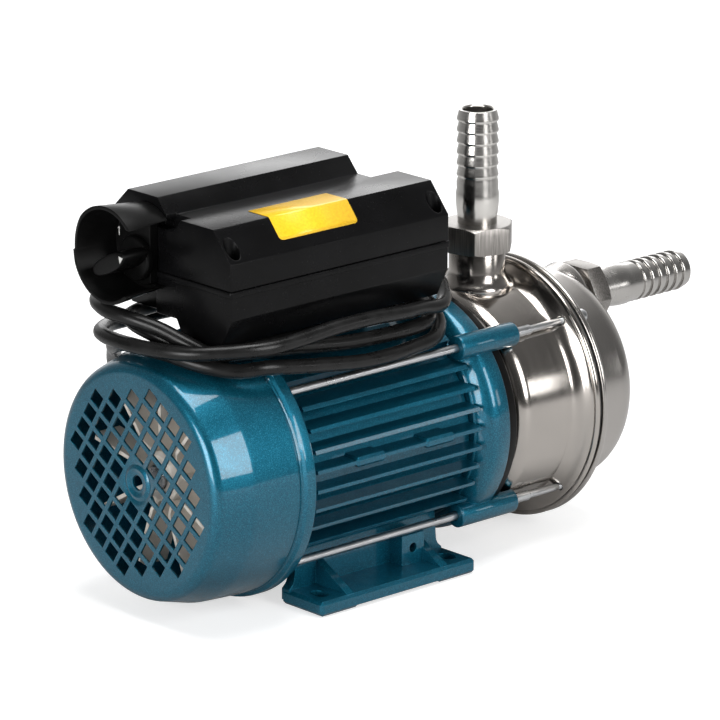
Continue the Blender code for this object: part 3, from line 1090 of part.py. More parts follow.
def make_switch():
    """The rotary switch: a body inside the box, a dial plate, a flared collar and a lever knob."""
    rear_face = BOX_REAR + RECESS_DEPTH
    outer_slope = (COLLAR_FRONT_R - COLLAR_BASE_R) / (rear_face - COLLAR_FRONT)
    dial_r = COLLAR_BASE_R + outer_slope * (rear_face - DIAL_X) - COLLAR_WALL - 0.0001
    collar = [(COLLAR_FRONT_R - COLLAR_WALL, COLLAR_FRONT), (COLLAR_FRONT_R, COLLAR_FRONT + 0.0004),
              (COLLAR_BASE_R, BOX_REAR - GAP), (COLLAR_BASE_R - COLLAR_WALL - 0.0012, BOX_REAR - GAP),
              (COLLAR_BASE_R - COLLAR_WALL - 0.0012, DIAL_X + 0.0024), (dial_r - 0.0002, DIAL_X + 0.0024)]
    ring = turned("switch_collar", collar, BLACK, (0, SWITCH_Y, SWITCH_Z), steps=ROUND_STEPS)
    plate = block("collar_plate", (BOX_REAR - 2 * GAP, RECESS_Y + SEAM_BAND + GAP, 0.1500),
                  (rear_face - SEAM_BAND - GAP, BOX_HALF_WIDTH - 0.0025, RECESS_TOP_Z - GAP), group=CUTTERS)
    join(ring, plate)
    cut(ring, rod("collar_bore", dial_r - 0.0022 + GAP, (DIAL_X + 0.001, SWITCH_Y, SWITCH_Z),
                  (BOX_REAR, SWITCH_Y, SWITCH_Z), group=CUTTERS, sides=ROUND_STEPS))
    dial = [(0, DIAL_X + 0.0004), (dial_r - 0.0022, DIAL_X + 0.0004), (dial_r - 0.0022, BOX_REAR - GAP),
            (0, BOX_REAR - GAP)]
    plate = turned("switch_body", dial, BLACK, (0, SWITCH_Y, SWITCH_Z), steps=SMALL_STEPS)
    cut(plate, rod("knob_bore", KNOB_STEM_R + GAP, (DIAL_X - 0.002, KNOB_Y, KNOB_Z),
                   (DIAL_X + 0.0042, KNOB_Y, KNOB_Z), group=CUTTERS, sides=20))
    front = DIAL_X + 0.0001 - KNOB_DISC
    profile = [(0, front - DIAL_X), (KNOB_R - 0.001, front - DIAL_X), (KNOB_R, front - DIAL_X + 0.001),
               (KNOB_R, 0.0001), (KNOB_STEM_R, 0.0001), (KNOB_STEM_R, 0.0036), (0, 0.0036)]
    knob = turned("switch_knob", profile, BLACK, steps=SMALL_STEPS, parent=KNOB_AXIS)
    reach = KNOB_FRONT - DIAL_X
    outline = (arc((reach + 0.0045, 0), LEVER_WIDTH / 2, 240, 120, 6)
               + [(-KNOB_DISC + 0.001, LEVER_WIDTH * 0.36), (-KNOB_DISC + 0.001, -LEVER_WIDTH * 0.36)])
    lever = flat("knob_lever", [outline], LEVER_THICKNESS, None, turn=ELEVATION, parent=KNOB_AXIS, group=CUTTERS)
    soften(lever, 0.0007)
    join(knob, lever)


def make_gland():
    """The cord gland under the box: a nut against its block and a tapered clamping nose."""
    start = HOOD_FRONT - HOOD_LENGTH - GAP
    profile = stepped([(GLAND_END, CORD_R + 0.0004), (GLAND_END + 0.0030, GLAND_R - 0.0006),
                       (GLAND_END + 0.0055, GLAND_R - 0.0006), (GLAND_END + 0.0056, GLAND_R), (start, GLAND_R)])
    turned("cord_gland", profile, BLACK, (0, GLAND_Y, GLAND_Z), steps=SMALL_STEPS)


def smooth_route(points, count):
    """Points along a smooth curve through the given ones, closer together where it bends."""
    knots = [Vector(p) for p in points]
    ends = [knots[0] * 2 - knots[1]] + knots + [knots[-1] * 2 - knots[-2]]
    fine = []
    for p0, p1, p2, p3 in zip(ends, ends[1:], ends[2:], ends[3:]):
        for k in range(12):
            t = k / 12
            fine.append(0.5 * ((2 * p1) + (p2 - p0) * t + (2 * p0 - 5 * p1 + 4 * p2 - p3) * t ** 2
                               + (3 * p1 - p0 - 3 * p2 + p3) * t ** 3))
    fine.append(knots[-1])
    steps = [b - a for a, b in zip(fine, fine[1:])]
    turns = [0.0] + [a.angle(b, 0.0) for a, b in zip(steps, steps[1:])]
    measure = np.cumsum([0.0] + [step.length + CORD_TURN_WEIGHT * turn for step, turn in zip(steps, turns)])
    coordinates = np.array([tuple(p) for p in fine])
    wanted = np.linspace(0.0, measure[-1], count)
    return np.stack([np.interp(wanted, measure, coordinates[:, k]) for k in range(3)], axis=1)


def make_cord():
    curve = bpy.data.curves.new("mains_cord", "CURVE")
    curve.dimensions = "3D"
    curve.bevel_depth = CORD_R
    curve.bevel_resolution = 2
    curve.use_fill_caps = True
    curve.materials.append(PVC)
    route = smooth_route(CORD_ROUTE, CORD_POINTS)
    spline = curve.splines.new("POLY")
    spline.points.add(len(route) - 1)
    for point, place in zip(spline.points, route):
        point.co = (*place, 1)
    place_object(bpy.data.objects.new("mains_cord", curve))


def make_plug():
    """A two-pin plug on the floor behind the motor: relief, grip, round face and pins."""
    start = GAP
    body = stepped([(start, CORD_R + 0.0006), (start + PLUG_RELIEF, CORD_R + 0.0030),
                    (start + PLUG_RELIEF + 0.004, PLUG_R * 0.62), (start + PLUG_RELIEF + 0.012, PLUG_R * 0.70),
                    (start + PLUG_RELIEF + 0.018, PLUG_R * 0.97), (start + PLUG_RELIEF + 0.020, PLUG_R),
                    (start + PLUG_RELIEF + PLUG_LENGTH - 0.001, PLUG_R),
                    (start + PLUG_RELIEF + PLUG_LENGTH, PLUG_R - 0.001)])
    turned("plug_body", body, BLACK, PLUG_AT, steps=SMALL_STEPS)
    face = PLUG_AT.x + start + PLUG_RELIEF + PLUG_LENGTH
    for i, side in enumerate((-1, 1), start=1):
        y = PLUG_AT.y + side * PIN_SPACING / 2
        turned("plug_pin_%d" % i, stepped([(0, PIN_R), (PIN_LENGTH - 0.0015, PIN_R),
                                           (PIN_LENGTH, PIN_R - 0.0012)]),
               BRASS, (face + GAP, y, PLUG_AT.z), steps=FASTENER_STEPS)


make_frame()
make_fan_cover()
make_rear_shield()
make_front_flange()
make_rods_and_studs()
make_stator()
make_bearings()
make_shaft_and_rotor()
make_fan()
make_impeller()
make_seal()
make_rear_casing()
make_head_cover()
make_gasket_and_liner()
make_barbs()
make_box()
make_capacitor()
make_switch()
make_gland()
make_cord()
make_plug()
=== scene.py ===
"""Transfer pump: its surfaces, fine shapes, cord, lights and camera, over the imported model's frame."""
import math

import bmesh
import bpy
import numpy as np
from mathutils import Matrix, Vector


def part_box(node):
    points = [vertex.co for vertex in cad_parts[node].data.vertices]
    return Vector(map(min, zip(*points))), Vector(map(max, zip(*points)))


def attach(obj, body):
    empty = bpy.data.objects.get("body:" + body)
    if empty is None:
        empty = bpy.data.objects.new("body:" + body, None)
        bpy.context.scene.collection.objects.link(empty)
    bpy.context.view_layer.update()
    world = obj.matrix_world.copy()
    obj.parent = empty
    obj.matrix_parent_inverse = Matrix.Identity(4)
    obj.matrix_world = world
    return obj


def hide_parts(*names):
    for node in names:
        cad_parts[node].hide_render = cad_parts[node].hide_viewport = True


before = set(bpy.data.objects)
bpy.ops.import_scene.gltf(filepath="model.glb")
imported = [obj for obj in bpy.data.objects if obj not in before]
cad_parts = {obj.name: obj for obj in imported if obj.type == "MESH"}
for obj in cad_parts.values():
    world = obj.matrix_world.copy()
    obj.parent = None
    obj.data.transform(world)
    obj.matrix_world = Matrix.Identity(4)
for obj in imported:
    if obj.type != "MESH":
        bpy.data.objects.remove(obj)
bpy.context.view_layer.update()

# The motor's own frame: its zero is midway between the foot holes
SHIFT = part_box("motor_frame")[0][0] + 0.0502
AXIS = 0.065
GAP = 0.0003
SUCTION_Z = 0.1010

# Camera, as solved from the photograph
AIM = Vector((0.0262 + SHIFT, 0.0, 0.0960))
VIEW = Vector((0.6455, 0.7092, -0.2834))
DISTANCE = 2.489
LENS = 265.45
SENSOR = 36.0

ALONG_X = Matrix.Rotation(math.radians(90), 4, "Y")
SECTION = Matrix(((0, 0, 1, 0), (1, 0, 0, 0), (0, 1, 0, 0), (0, 0, 0, 1)))
UPRIGHT = Matrix.Identity(4)
FINE = 128
MEDIUM = 64
SMALL = 28


def make_camera():
    data = bpy.data.cameras.new("camera")
    data.lens = LENS
    data.sensor_width = SENSOR
    data.clip_end = 20
    camera = bpy.data.objects.new("camera", data)
    camera.location = AIM - VIEW.normalized() * DISTANCE
    camera.rotation_euler = VIEW.to_track_quat("-Z", "Y").to_euler()
    bpy.context.scene.collection.objects.link(camera)
    bpy.context.scene.camera = camera


make_camera()


# Node helpers
def start_material(name):
    material = bpy.data.materials.new(name)
    material.use_nodes = True
    tree = material.node_tree
    return material, tree, tree.nodes["Principled BSDF"]


def node(tree, kind, links=(), **values):
    """A node with its properties and socket constants set, and its inputs linked."""
    made = tree.nodes.new(kind)
    for key, value in values.items():
        if hasattr(made, key):
            setattr(made, key, value)
        else:
            made.inputs[key.replace("_", " ").title()].default_value = value
    for socket, source in dict(links).items():
        tree.links.new(source, made.inputs[socket])
    return made


def fix(made, **values):
    """Sets constants on a node's own input sockets."""
    for name, value in values.items():
        made.inputs[name.replace("_", " ")].default_value = value


def feed(made, **sources):
    """Links sources to a node's own input sockets."""
    for name, source in sources.items():
        made.id_data.links.new(source, made.inputs[name.replace("_", " ")])


def place_in_frame(tree, stretch=(1, 1, 1)):
    """The surface point in the object's own frame, stretched."""
    point = node(tree, "ShaderNodeTexCoord").outputs["Object"]
    scaled = node(tree, "ShaderNodeVectorMath", {0: point}, operation="MULTIPLY")
    scaled.inputs[1].default_value = stretch
    return scaled.outputs[0]


def noise(tree, scale, detail=2.0, vector=None):
    made = node(tree, "ShaderNodeTexNoise", scale=scale, detail=detail)
    feed(made, Vector=vector or place_in_frame(tree))
    return made.outputs["Fac"]


def ramp(tree, factor, stops):
    made = tree.nodes.new("ShaderNodeValToRGB")
    made.color_ramp.elements[0].position, made.color_ramp.elements[0].color = stops[0][0], (*stops[0][1], 1)
    made.color_ramp.elements[1].position, made.color_ramp.elements[1].color = stops[-1][0], (*stops[-1][1], 1)
    for position, colour in stops[1:-1]:
        made.color_ramp.elements.new(position).color = (*colour, 1)
    feed(made, Fac=factor)
    return made.outputs["Color"]


def spread(tree, factor, low, high):
    """Maps a 0 to 1 value onto a range."""
    made = node(tree, "ShaderNodeMapRange", {"Value": factor})
    fix(made, From_Min=0.3, From_Max=0.7, To_Min=low, To_Max=high)
    return made.outputs["Result"]


def raised(tree, height, strength, distance, normal=None):
    made = node(tree, "ShaderNodeBump", {"Height": height})
    fix(made, Strength=strength, Distance=distance)
    if normal:
        feed(made, Normal=normal)
    return made.outputs["Normal"]


def rounded_edges(tree, radius):
    made = tree.nodes.new("ShaderNodeBevel")
    made.samples = 6
    fix(made, Radius=radius)
    return made.outputs["Normal"]


def around_axis(tree, y=0.0, z=AXIS, along="X"):
    """A turned surface's own place: radius and distance along its axis, for rings left by turning."""
    point = node(tree, "ShaderNodeTexCoord").outputs["Object"]
    split = node(tree, "ShaderNodeSeparateXYZ", {0: point}).outputs
    first, second, third = (split["Y"], split["Z"], split["X"]) if along == "X" else \
        (split["X"], split["Y"], split["Z"])
    centre = (y, z)
    squares = []
    for source, middle in zip((first, second), centre):
        away = node(tree, "ShaderNodeMath", {0: source}, operation="SUBTRACT")
        away.inputs[1].default_value = middle
        square = node(tree, "ShaderNodeMath", {0: away.outputs[0], 1: away.outputs[0]}, operation="MULTIPLY")
        squares.append(square.outputs[0])
    total = node(tree, "ShaderNodeMath", {0: squares[0], 1: squares[1]}, operation="ADD")
    radius = node(tree, "ShaderNodeMath", {0: total.outputs[0]}, operation="SQRT")
    return node(tree, "ShaderNodeCombineXYZ", {0: radius.outputs[0], 1: third}).outputs[0]


def teal_enamel():
    """Metallic teal enamel over a casting: fine flakes, soft orange peel and a clear top."""
    material, tree, shader = start_material("teal_enamel")
    point = place_in_frame(tree)
    flakes = node(tree, "ShaderNodeTexVoronoi", {"Vector": point}, scale=3600.0)
    fleck = ramp(tree, node(tree, "ShaderNodeSeparateColor", {0: flakes.outputs["Color"]}).outputs[0],
                 [(0.0, (0.002, 0.070, 0.115)), (0.7, (0.003, 0.104, 0.165)), (1.0, (0.016, 0.175, 0.265))])
    clouds = ramp(tree, noise(tree, 35.0, 3.0, point),
                  [(0.35, (0.90, 0.92, 0.94)), (0.65, (1.0, 1.0, 1.0))])
    colour = node(tree, "ShaderNodeMix", data_type="RGBA", blend_type="MULTIPLY")
    fix(colour, Factor=1.0)
    feed(colour, A=fleck)
    feed(colour, B=clouds)
    feed(shader, Base_Color=colour.outputs["Result"])
    feed(shader, Roughness=spread(tree, noise(tree, 90.0, 3.0, point), 0.36, 0.48))
    peel = raised(tree, noise(tree, 420.0, 2.0, point), 0.12, 0.0004, rounded_edges(tree, 0.0006))
    feed(shader, Normal=peel)
    fix(shader, Metallic=0.7, Specular_IOR_Level=0.2, Coat_Weight=0.9, Coat_IOR=1.42, Coat_Roughness=0.06)
    return material


def moulded_plastic(name, dark, light, rough, grain=0.05, edge=0.0005, dust=0.0, shine=0.5):
    """Moulded plastic with a fine grain, slightly uneven gloss and softened edges."""
    material, tree, shader = start_material(name)
    point = place_in_frame(tree)
    body = ramp(tree, noise(tree, 60.0, 4.0, point), [(0.3, dark), (0.7, light)])
    if dust:
        specks = node(tree, "ShaderNodeTexVoronoi", {"Vector": point}, scale=420.0)
        near = node(tree, "ShaderNodeMath", {0: specks.outputs["Distance"]}, operation="LESS_THAN")
        near.inputs[1].default_value = 0.06
        mix = node(tree, "ShaderNodeMix", data_type="RGBA")
        fix(mix, B=(0.10, 0.10, 0.10, 1))
        amount = node(tree, "ShaderNodeMath", {0: near.outputs[0]}, operation="MULTIPLY")
        amount.inputs[1].default_value = dust
        feed(mix, Factor=amount.outputs[0])
        feed(mix, A=body)
        body = mix.outputs["Result"]
    feed(shader, Base_Color=body)
    feed(shader, Roughness=spread(tree, noise(tree, 25.0, 4.0, point), *rough))
    fine = raised(tree, noise(tree, 1500.0, 1.0, point), grain, 0.0002, rounded_edges(tree, edge))
    feed(shader, Normal=fine)
    fix(shader, Specular_IOR_Level=shine)
    return material


def turned_metal(name, colour, rough, centre=(0.0, AXIS), along="X", rings=0.12):
    """Bare metal with faint rings left by turning or polishing round its axis."""
    material, tree, shader = start_material(name)
    ring_place = around_axis(tree, *centre, along=along)
    lines = noise(tree, 2600.0, 3.0, ring_place)
    wide = noise(tree, 260.0, 3.0, ring_place)
    haze = noise(tree, 45.0, 4.0)
    low = tuple(c * 0.94 for c in colour)
    feed(shader, Base_Color=ramp(tree, haze, [(0.3, low), (0.7, colour)]))
    both = node(tree, "ShaderNodeMath", {0: wide, 1: haze}, operation="ADD")
    half = node(tree, "ShaderNodeMath", {0: both.outputs[0]}, operation="MULTIPLY")
    half.inputs[1].default_value = 0.5
    feed(shader, Roughness=spread(tree, half.outputs[0], *rough))
    normal = raised(tree, lines, rings, 0.00006, rounded_edges(tree, 0.0004))
    feed(shader, Normal=normal)
    fix(shader, Metallic=1.0)
    return material


def plain_metal(name, colour, rough, stretch=(1, 1, 1), lines=0.1):
    """Plated or drawn metal: fine grain stretched along the part, and uneven gloss."""
    material, tree, shader = start_material(name)
    point = place_in_frame(tree, stretch)
    haze = noise(tree, 70.0, 4.0)
    low = tuple(c * 0.86 for c in colour)
    feed(shader, Base_Color=ramp(tree, haze, [(0.3, low), (0.7, colour)]))
    feed(shader, Roughness=spread(tree, haze, *rough))
    normal = raised(tree, noise(tree, 900.0, 3.0, point), lines, 0.0001, rounded_edges(tree, 0.0003))
    feed(shader, Normal=normal)
    fix(shader, Metallic=1.0)
    return material


def milled_metal():
    """A hexagon's flats, with the upright lines left by milling."""
    material, tree, shader = start_material("milled_hex")
    lines = noise(tree, 2400.0, 3.0, place_in_frame(tree, (1, 1, 0.03)))
    feed(shader, Base_Color=ramp(tree, lines, [(0.3, (0.17, 0.16, 0.15)), (0.7, (0.38, 0.36, 0.34))]))
    feed(shader, Roughness=spread(tree, lines, 0.28, 0.44))
    feed(shader, Normal=raised(tree, lines, 0.4, 0.0001, rounded_edges(tree, 0.0003)))
    fix(shader, Metallic=1.0)
    return material


def laminations():
    """Stacked sheets: fine lines across the axis."""
    material, tree, shader = start_material("laminations")
    wave = node(tree, "ShaderNodeTexWave", {"Vector": place_in_frame(tree)}, scale=320.0, distortion=0.4)
    feed(shader, Base_Color=ramp(tree, wave.outputs["Fac"], [(0.2, (0.10, 0.10, 0.11)), (0.8, (0.26, 0.26, 0.28))]))
    feed(shader, Normal=raised(tree, wave.outputs["Fac"], 0.3, 0.0001))
    fix(shader, Metallic=0.9, Roughness=0.5)
    return material


def winding():
    """Varnished copper wire, laid side by side."""
    material, tree, shader = start_material("winding")
    wave = node(tree, "ShaderNodeTexWave", {"Vector": around_axis(tree)}, scale=260.0, distortion=2.0)
    feed(shader, Base_Color=ramp(tree, wave.outputs["Fac"], [(0.2, (0.30, 0.09, 0.03)), (0.8, (0.62, 0.25, 0.10))]))
    feed(shader, Normal=raised(tree, wave.outputs["Fac"], 0.6, 0.0004))
    fix(shader, Metallic=0.7, Roughness=0.35)
    return material


def sheath():
    """The cord's smooth black sheath, with a faint waviness along it."""
    material, tree, shader = start_material("cord_sheath")
    body = noise(tree, 120.0, 3.0)
    feed(shader, Base_Color=ramp(tree, body, [(0.3, (0.005, 0.005, 0.005)), (0.7, (0.010, 0.010, 0.010))]))
    feed(shader, Roughness=spread(tree, body, 0.24, 0.36))
    fix(shader, Specular_IOR_Level=0.25)
    feed(shader, Normal=raised(tree, noise(tree, 700.0, 2.0), 0.08, 0.0002))
    return material


def label_film():
    """A yellow film label: a satin face with a faintly mottled print."""
    material, tree, shader = start_material("label_film")
    mottle = noise(tree, 900.0, 3.0)
    feed(shader, Base_Color=ramp(tree, mottle, [(0.3, (0.78, 0.44, 0.010)), (0.7, (0.90, 0.56, 0.020))]))
    feed(shader, Roughness=spread(tree, noise(tree, 60.0), 0.28, 0.36))
    feed(shader, Normal=raised(tree, mottle, 0.05, 0.0001))
    return material


TEAL = teal_enamel()
BLACK = moulded_plastic("black_plastic", (0.0022, 0.0022, 0.0024), (0.0040, 0.0040, 0.0043), (0.24, 0.34),
                        grain=0.06, edge=0.0006, dust=0.4, shine=0.12)
SATIN_BLACK = moulded_plastic("satin_black", (0.002, 0.002, 0.002), (0.004, 0.004, 0.004), (0.28, 0.40), shine=0.12)
PALE_PRINT = moulded_plastic("pale_print", (0.50, 0.50, 0.48), (0.60, 0.60, 0.58), (0.4, 0.5))
CREAM = moulded_plastic("cream_plastic", (0.74, 0.69, 0.62), (0.82, 0.77, 0.70), (0.4, 0.5))
SOFT_RUBBER = moulded_plastic("soft_rubber", (0.010, 0.010, 0.010), (0.020, 0.020, 0.020), (0.6, 0.75), grain=0.2)
CARBON = moulded_plastic("carbon_face", (0.02, 0.02, 0.022), (0.04, 0.04, 0.042), (0.4, 0.5))
BOWL_METAL = turned_metal("polished_bowl", (0.46, 0.43, 0.40), (0.12, 0.22))
DRUM_METAL = turned_metal("brushed_drum", (0.43, 0.41, 0.39), (0.18, 0.28))
UP_METAL = turned_metal("turned_upright", (0.70, 0.68, 0.65), (0.16, 0.26), (0.1015 + SHIFT, 0.0), "Z", 0.25)
# The suction barb is the same turned steel as the upright barb. Its colour is darkened here as painted shade, to hold
# back its glare.
SHADED_FRONT_METAL = turned_metal("turned_forward", (0.50, 0.485, 0.465), (0.20, 0.30), (0.0, SUCTION_Z), "X", 0.25)
HEX_METAL = milled_metal()
ZINC = plain_metal("zinc_plate", (0.56, 0.57, 0.58), (0.24, 0.36), (0.1, 1, 1), 0.2)
STEEL = turned_metal("ground_steel", (0.50, 0.50, 0.51), (0.22, 0.32))
BRASS = plain_metal("plug_brass", (0.68, 0.50, 0.20), (0.18, 0.3), (0.1, 1, 1))
LAMINATIONS = laminations()
WINDING = winding()
SHEATH = sheath()
LABEL = label_film()


# Shape helpers
def finish_mesh(shape, name, smooth=True, sharp=34):
    mesh = bpy.data.meshes.new(name)
    bmesh.ops.recalc_face_normals(shape, faces=shape.faces)
    shape.to_mesh(mesh)
    shape.free()
    if smooth:
        mesh.shade_smooth()
        mesh.set_sharp_from_angle(angle=math.radians(sharp))
    return mesh


def piece(name, mesh, material, body="root", nodes=(), place=(0, 0, 0), turn=UPRIGHT):
    """A finished piece of the scene: placed, coloured, riding on its body and standing for CAD nodes."""
    mesh.transform(Matrix.Translation(place) @ turn)
    mesh.materials.clear()
    mesh.materials.append(material)
    made = bpy.data.objects.new(name, mesh)
    bpy.context.scene.collection.objects.link(made)
    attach(made, body)
    if nodes:
        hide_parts(*nodes)
    return made


def loop_area(points):
    return sum(a[0] * b[1] - b[0] * a[1] for a, b in zip(points, points[1:] + points[:1])) / 2


def revolved(name, profile, steps=FINE):
    """A mesh turned about Z from a closed loop of (radius, height)."""
    points = list(profile)
    shape = bmesh.new()
    rings = []
    for radius, height in points:
        if radius < 1e-7:
            rings.append([shape.verts.new((0, 0, height))] * steps)
        else:
            rings.append([shape.verts.new((radius * math.cos(2 * math.pi * k / steps),
                                           radius * math.sin(2 * math.pi * k / steps), height))
                          for k in range(steps)])
    closed = points[0][0] > 1e-7 or points[-1][0] > 1e-7
    pairs = list(zip(rings, rings[1:])) + ([(rings[-1], rings[0])] if closed else [])
    for low, high in pairs:
        for k in range(steps):
            corner = [low[k], low[(k + 1) % steps], high[(k + 1) % steps], high[k]]
            distinct = list(dict.fromkeys(corner))
            if len(distinct) > 2:
                shape.faces.new(distinct)
    return finish_mesh(shape, name)


def arc(centre, radius, start, end, steps):
    return [(centre[0] + radius * math.cos(math.radians(start + (end - start) * k / steps)),
             centre[1] + radius * math.sin(math.radians(start + (end - start) * k / steps)))
            for k in range(steps + 1)]


def stepped(steps):
    return [(0, steps[0][0])] + [(r, x) for x, r in steps] + [(0, steps[-1][0])]


def rounded(points, radius, steps=4):
    """A closed outline with its corners rounded."""
    count = len(points)
    result = []
    for i, here in enumerate(points):
        before, after = Vector(points[i - 1]), Vector(points[(i + 1) % count])
        here = Vector(here)
        to_before, to_after = before - here, after - here
        angle = to_before.angle(to_after)
        reach = min(radius / math.tan(angle / 2), 0.45 * to_before.length, 0.45 * to_after.length)
        real = reach * math.tan(angle / 2)
        centre = here + (to_before.normalized() + to_after.normalized()).normalized() * real / math.sin(angle / 2)
        first = here + to_before.normalized() * reach - centre
        last = here + to_after.normalized() * reach - centre
        for k in range(steps + 1):
            result.append(tuple(centre + first.lerp(last, k / steps).normalized() * real))
    return result


def extruded(name, outlines, thickness):
    """A flat outline in XY, with holes as further outlines, given a thickness about its plane."""
    curve = bpy.data.curves.new(name, "CURVE")
    curve.dimensions = "2D"
    curve.fill_mode = "BOTH"
    curve.extrude = thickness / 2
    for outline in outlines:
        spline = curve.splines.new("POLY")
        spline.points.add(len(outline) - 1)
        for point, (x, y) in zip(spline.points, outline):
            point.co = (x, y, 0, 1)
        spline.use_cyclic_u = True
    guide = bpy.data.objects.new(name, curve)
    bpy.context.scene.collection.objects.link(guide)
    mesh = bpy.data.meshes.new_from_object(guide.evaluated_get(bpy.context.evaluated_depsgraph_get()))
    bpy.data.objects.remove(guide)
    shape = bmesh.new()
    shape.from_mesh(mesh)
    bmesh.ops.remove_doubles(shape, verts=shape.verts, dist=0.000005)
    bmesh.ops.dissolve_limit(shape, angle_limit=math.radians(0.5), verts=shape.verts, edges=shape.edges)
    return finish_mesh(shape, name)


def cylinder(name, radius, length, steps=MEDIUM, end_radius=None):
    shape = bmesh.new()
    bmesh.ops.create_cone(shape, cap_ends=True, segments=steps, radius1=radius,
                          radius2=radius if end_radius is None else end_radius, depth=length)
    return finish_mesh(shape, name)


def cuboid(name, low, high):
    shape = bmesh.new()
    size = [b - a for a, b in zip(low, high)]
    middle = [(a + b) / 2 for a, b in zip(low, high)]
    bmesh.ops.create_cube(shape, size=1.0, matrix=Matrix.Translation(middle) @ Matrix.Diagonal((*size, 1)))
    return finish_mesh(shape, name, smooth=False)


def moved(mesh, place=(0, 0, 0), turn=UPRIGHT):
    mesh.transform(Matrix.Translation(place) @ turn)
    return mesh


def carve(mesh, changes, bevel=0.0, segments=2, angle=35):
    """Applies cuts and unions, then rounds the edges that are left."""
    guide = bpy.data.objects.new(mesh.name, mesh)
    bpy.context.scene.collection.objects.link(guide)
    tools = []
    for operation, other in changes:
        tool = bpy.data.objects.new("tool", other)
        bpy.context.scene.collection.objects.link(tool)
        tools.append(tool)
        step = guide.modifiers.new(operation, "BOOLEAN")
        step.operation = operation
        step.object = tool
    if bevel:
        edge = guide.modifiers.new("edge", "BEVEL")
        edge.width = bevel
        edge.segments = segments
        edge.limit_method = "ANGLE"
        edge.angle_limit = math.radians(angle)
        edge.harden_normals = False
    result = bpy.data.meshes.new_from_object(guide.evaluated_get(bpy.context.evaluated_depsgraph_get()))
    for used in [guide] + tools:
        bpy.data.objects.remove(used)
    result.shade_smooth()
    result.set_sharp_from_angle(angle=math.radians(34))
    return result


def cut(shape):
    return "DIFFERENCE", shape


def join(shape):
    return "UNION", shape


def drill(radius, length, middle, steps=MEDIUM, turn=ALONG_X):
    """The cut of a round hole about its middle."""
    return cut(moved(cylinder("bore", radius, length, steps), middle, turn))


def spun(degrees):
    return Matrix.Rotation(math.radians(degrees), 4, "Z")


def turned(name, profile):
    """A mesh turned about the motor's axis."""
    return moved(revolved(name, profile), (SHIFT, 0, AXIS), ALONG_X)


def corners():
    """The middles, in y and z, of the four rods and studs."""
    return [(sy * 0.041, AXIS + sz * 0.041) for sy in (-1, 1) for sz in (1, -1)]


DISCHARGE_X = 0.1015
RIM_REAR, RIM_DEPTH, GASKET = 0.1195, 0.0031, 0.0012
COLLAR_Y, COLLAR_Z = 0.0175, 0.1690
KNOB_Y, KNOB_Z, KNOB_LEAN = 0.0190, 0.1640, -117.4
OPEN_Y = 0.0104  # The collar's side is open up to here


# Motor
def make_fan_cover():
    """The pressed cover with its grille of turned square windows."""
    wall, thin, nose, corner, body = 0.0018, 0.0010, 0.0563, 0.0060, 0.0615
    front, step_x, lip = -0.1110, -0.0665, 0.0636
    face = nose - corner
    outer = [(0.0034, front + 0.0012), (0.0036, front + 0.0006), (0.0048, front + 0.0006), (0.0058, front + 0.0001),
             (0.0068, front - 0.0002), (0.0077, front + 0.0001), (0.0086, front + 0.0007), (0.0094, front + 0.0005),
             (0.0106, front)]
    outer += arc((face, front + corner), corner, 270, 345, 12)
    outer += [(0.05935, -0.0944), (0.05975, -0.0928), (0.0600, -0.0915), (0.0602, -0.0895), (body, step_x),
              (body - 0.0009, step_x + 0.0005), (body - 0.0009, step_x + 0.0012), (body, step_x + 0.0018),
              (body + 0.0002, step_x + 0.0024), (lip - 0.0010, -0.0637), (lip - 0.0002, -0.0633),
              (lip, -0.0627), (lip, -0.0583), (lip - 0.0003, -0.0580)]
    inner = [(lip - wall, -0.0580), (lip - wall, -0.0630), (body - wall, step_x + 0.0020),
             (body - wall, step_x), (0.0600 - wall, -0.0920)]
    inner += arc((face, front + corner), corner - wall, 345, 290, 6)
    inner += [(face - 0.0006, front + thin), (0.0120, front + thin), (0.0095, front + wall), (0.0034, front + wall)]
    shell = turned("cover_shell", outer + inner)
    pitch, hole, turn = 0.0092, 0.0069, 32.5
    shape = bmesh.new()
    for i in range(-5, 5):
        for j in range(-5, 5):
            x, y = (i + 0.5) * pitch, (j + 0.5) * pitch
            if 0.0100 < math.hypot(x, y) < 0.0445:
                bmesh.ops.create_cube(shape, size=1.0, matrix=Matrix.Translation((x, y, 0))
                                      @ Matrix.Diagonal((hole, hole, 4 * wall, 1)))
    windows = finish_mesh(shape, "windows", smooth=False)
    moved(windows, (SHIFT + front, 0, AXIS), ALONG_X @ spun(turn))
    piece("cover_shell", carve(shell, [cut(windows)]), TEAL, nodes=["fan_cover"])


def make_front_bracket():
    """The cast bracket: rounded flange, bearing seat and four long lugs."""
    rear = 0.0528
    profile = [(0.0382, rear - 0.003), (0.0422, rear - 0.003), (0.0422, rear), (0.0500, rear),
               (0.0505, rear + 0.0004), (0.0505, rear + 0.0010), (0.0517, rear + 0.0014)]
    profile += [(0.0549, rear + 0.0035), (0.0567, rear + 0.0053), (0.0575, rear + 0.0068),
                (0.0579, rear + 0.0082), (0.0580, rear + 0.0098), (0.0580, 0.0682), (0.0578, 0.0687),
                (0.0572, 0.0690), (0.0090, 0.0690), (0.0090, 0.0668), (0.0178, 0.0668), (0.0178, 0.0545),
                (0.0220, 0.0545), (0.0220, 0.0595), (0.0382, 0.0595)]
    flange = turned("front_bracket", profile)
    changes = []
    for y, z in corners():
        lug = carve(cylinder("lug", 0.0058, 0.0362, 40), [], 0.0008, 3)
        changes.append(join(moved(lug, (SHIFT + 0.0674, y, z), ALONG_X)))
    changes.append(drill(0.05486, 0.03, (SHIFT + 0.0932, 0, AXIS), FINE))
    changes += [drill(0.0023, 0.06, (SHIFT + 0.0674, y, z), 24) for y, z in corners()]
    piece("front_bracket", carve(flange, changes), TEAL, nodes=["front_flange"])


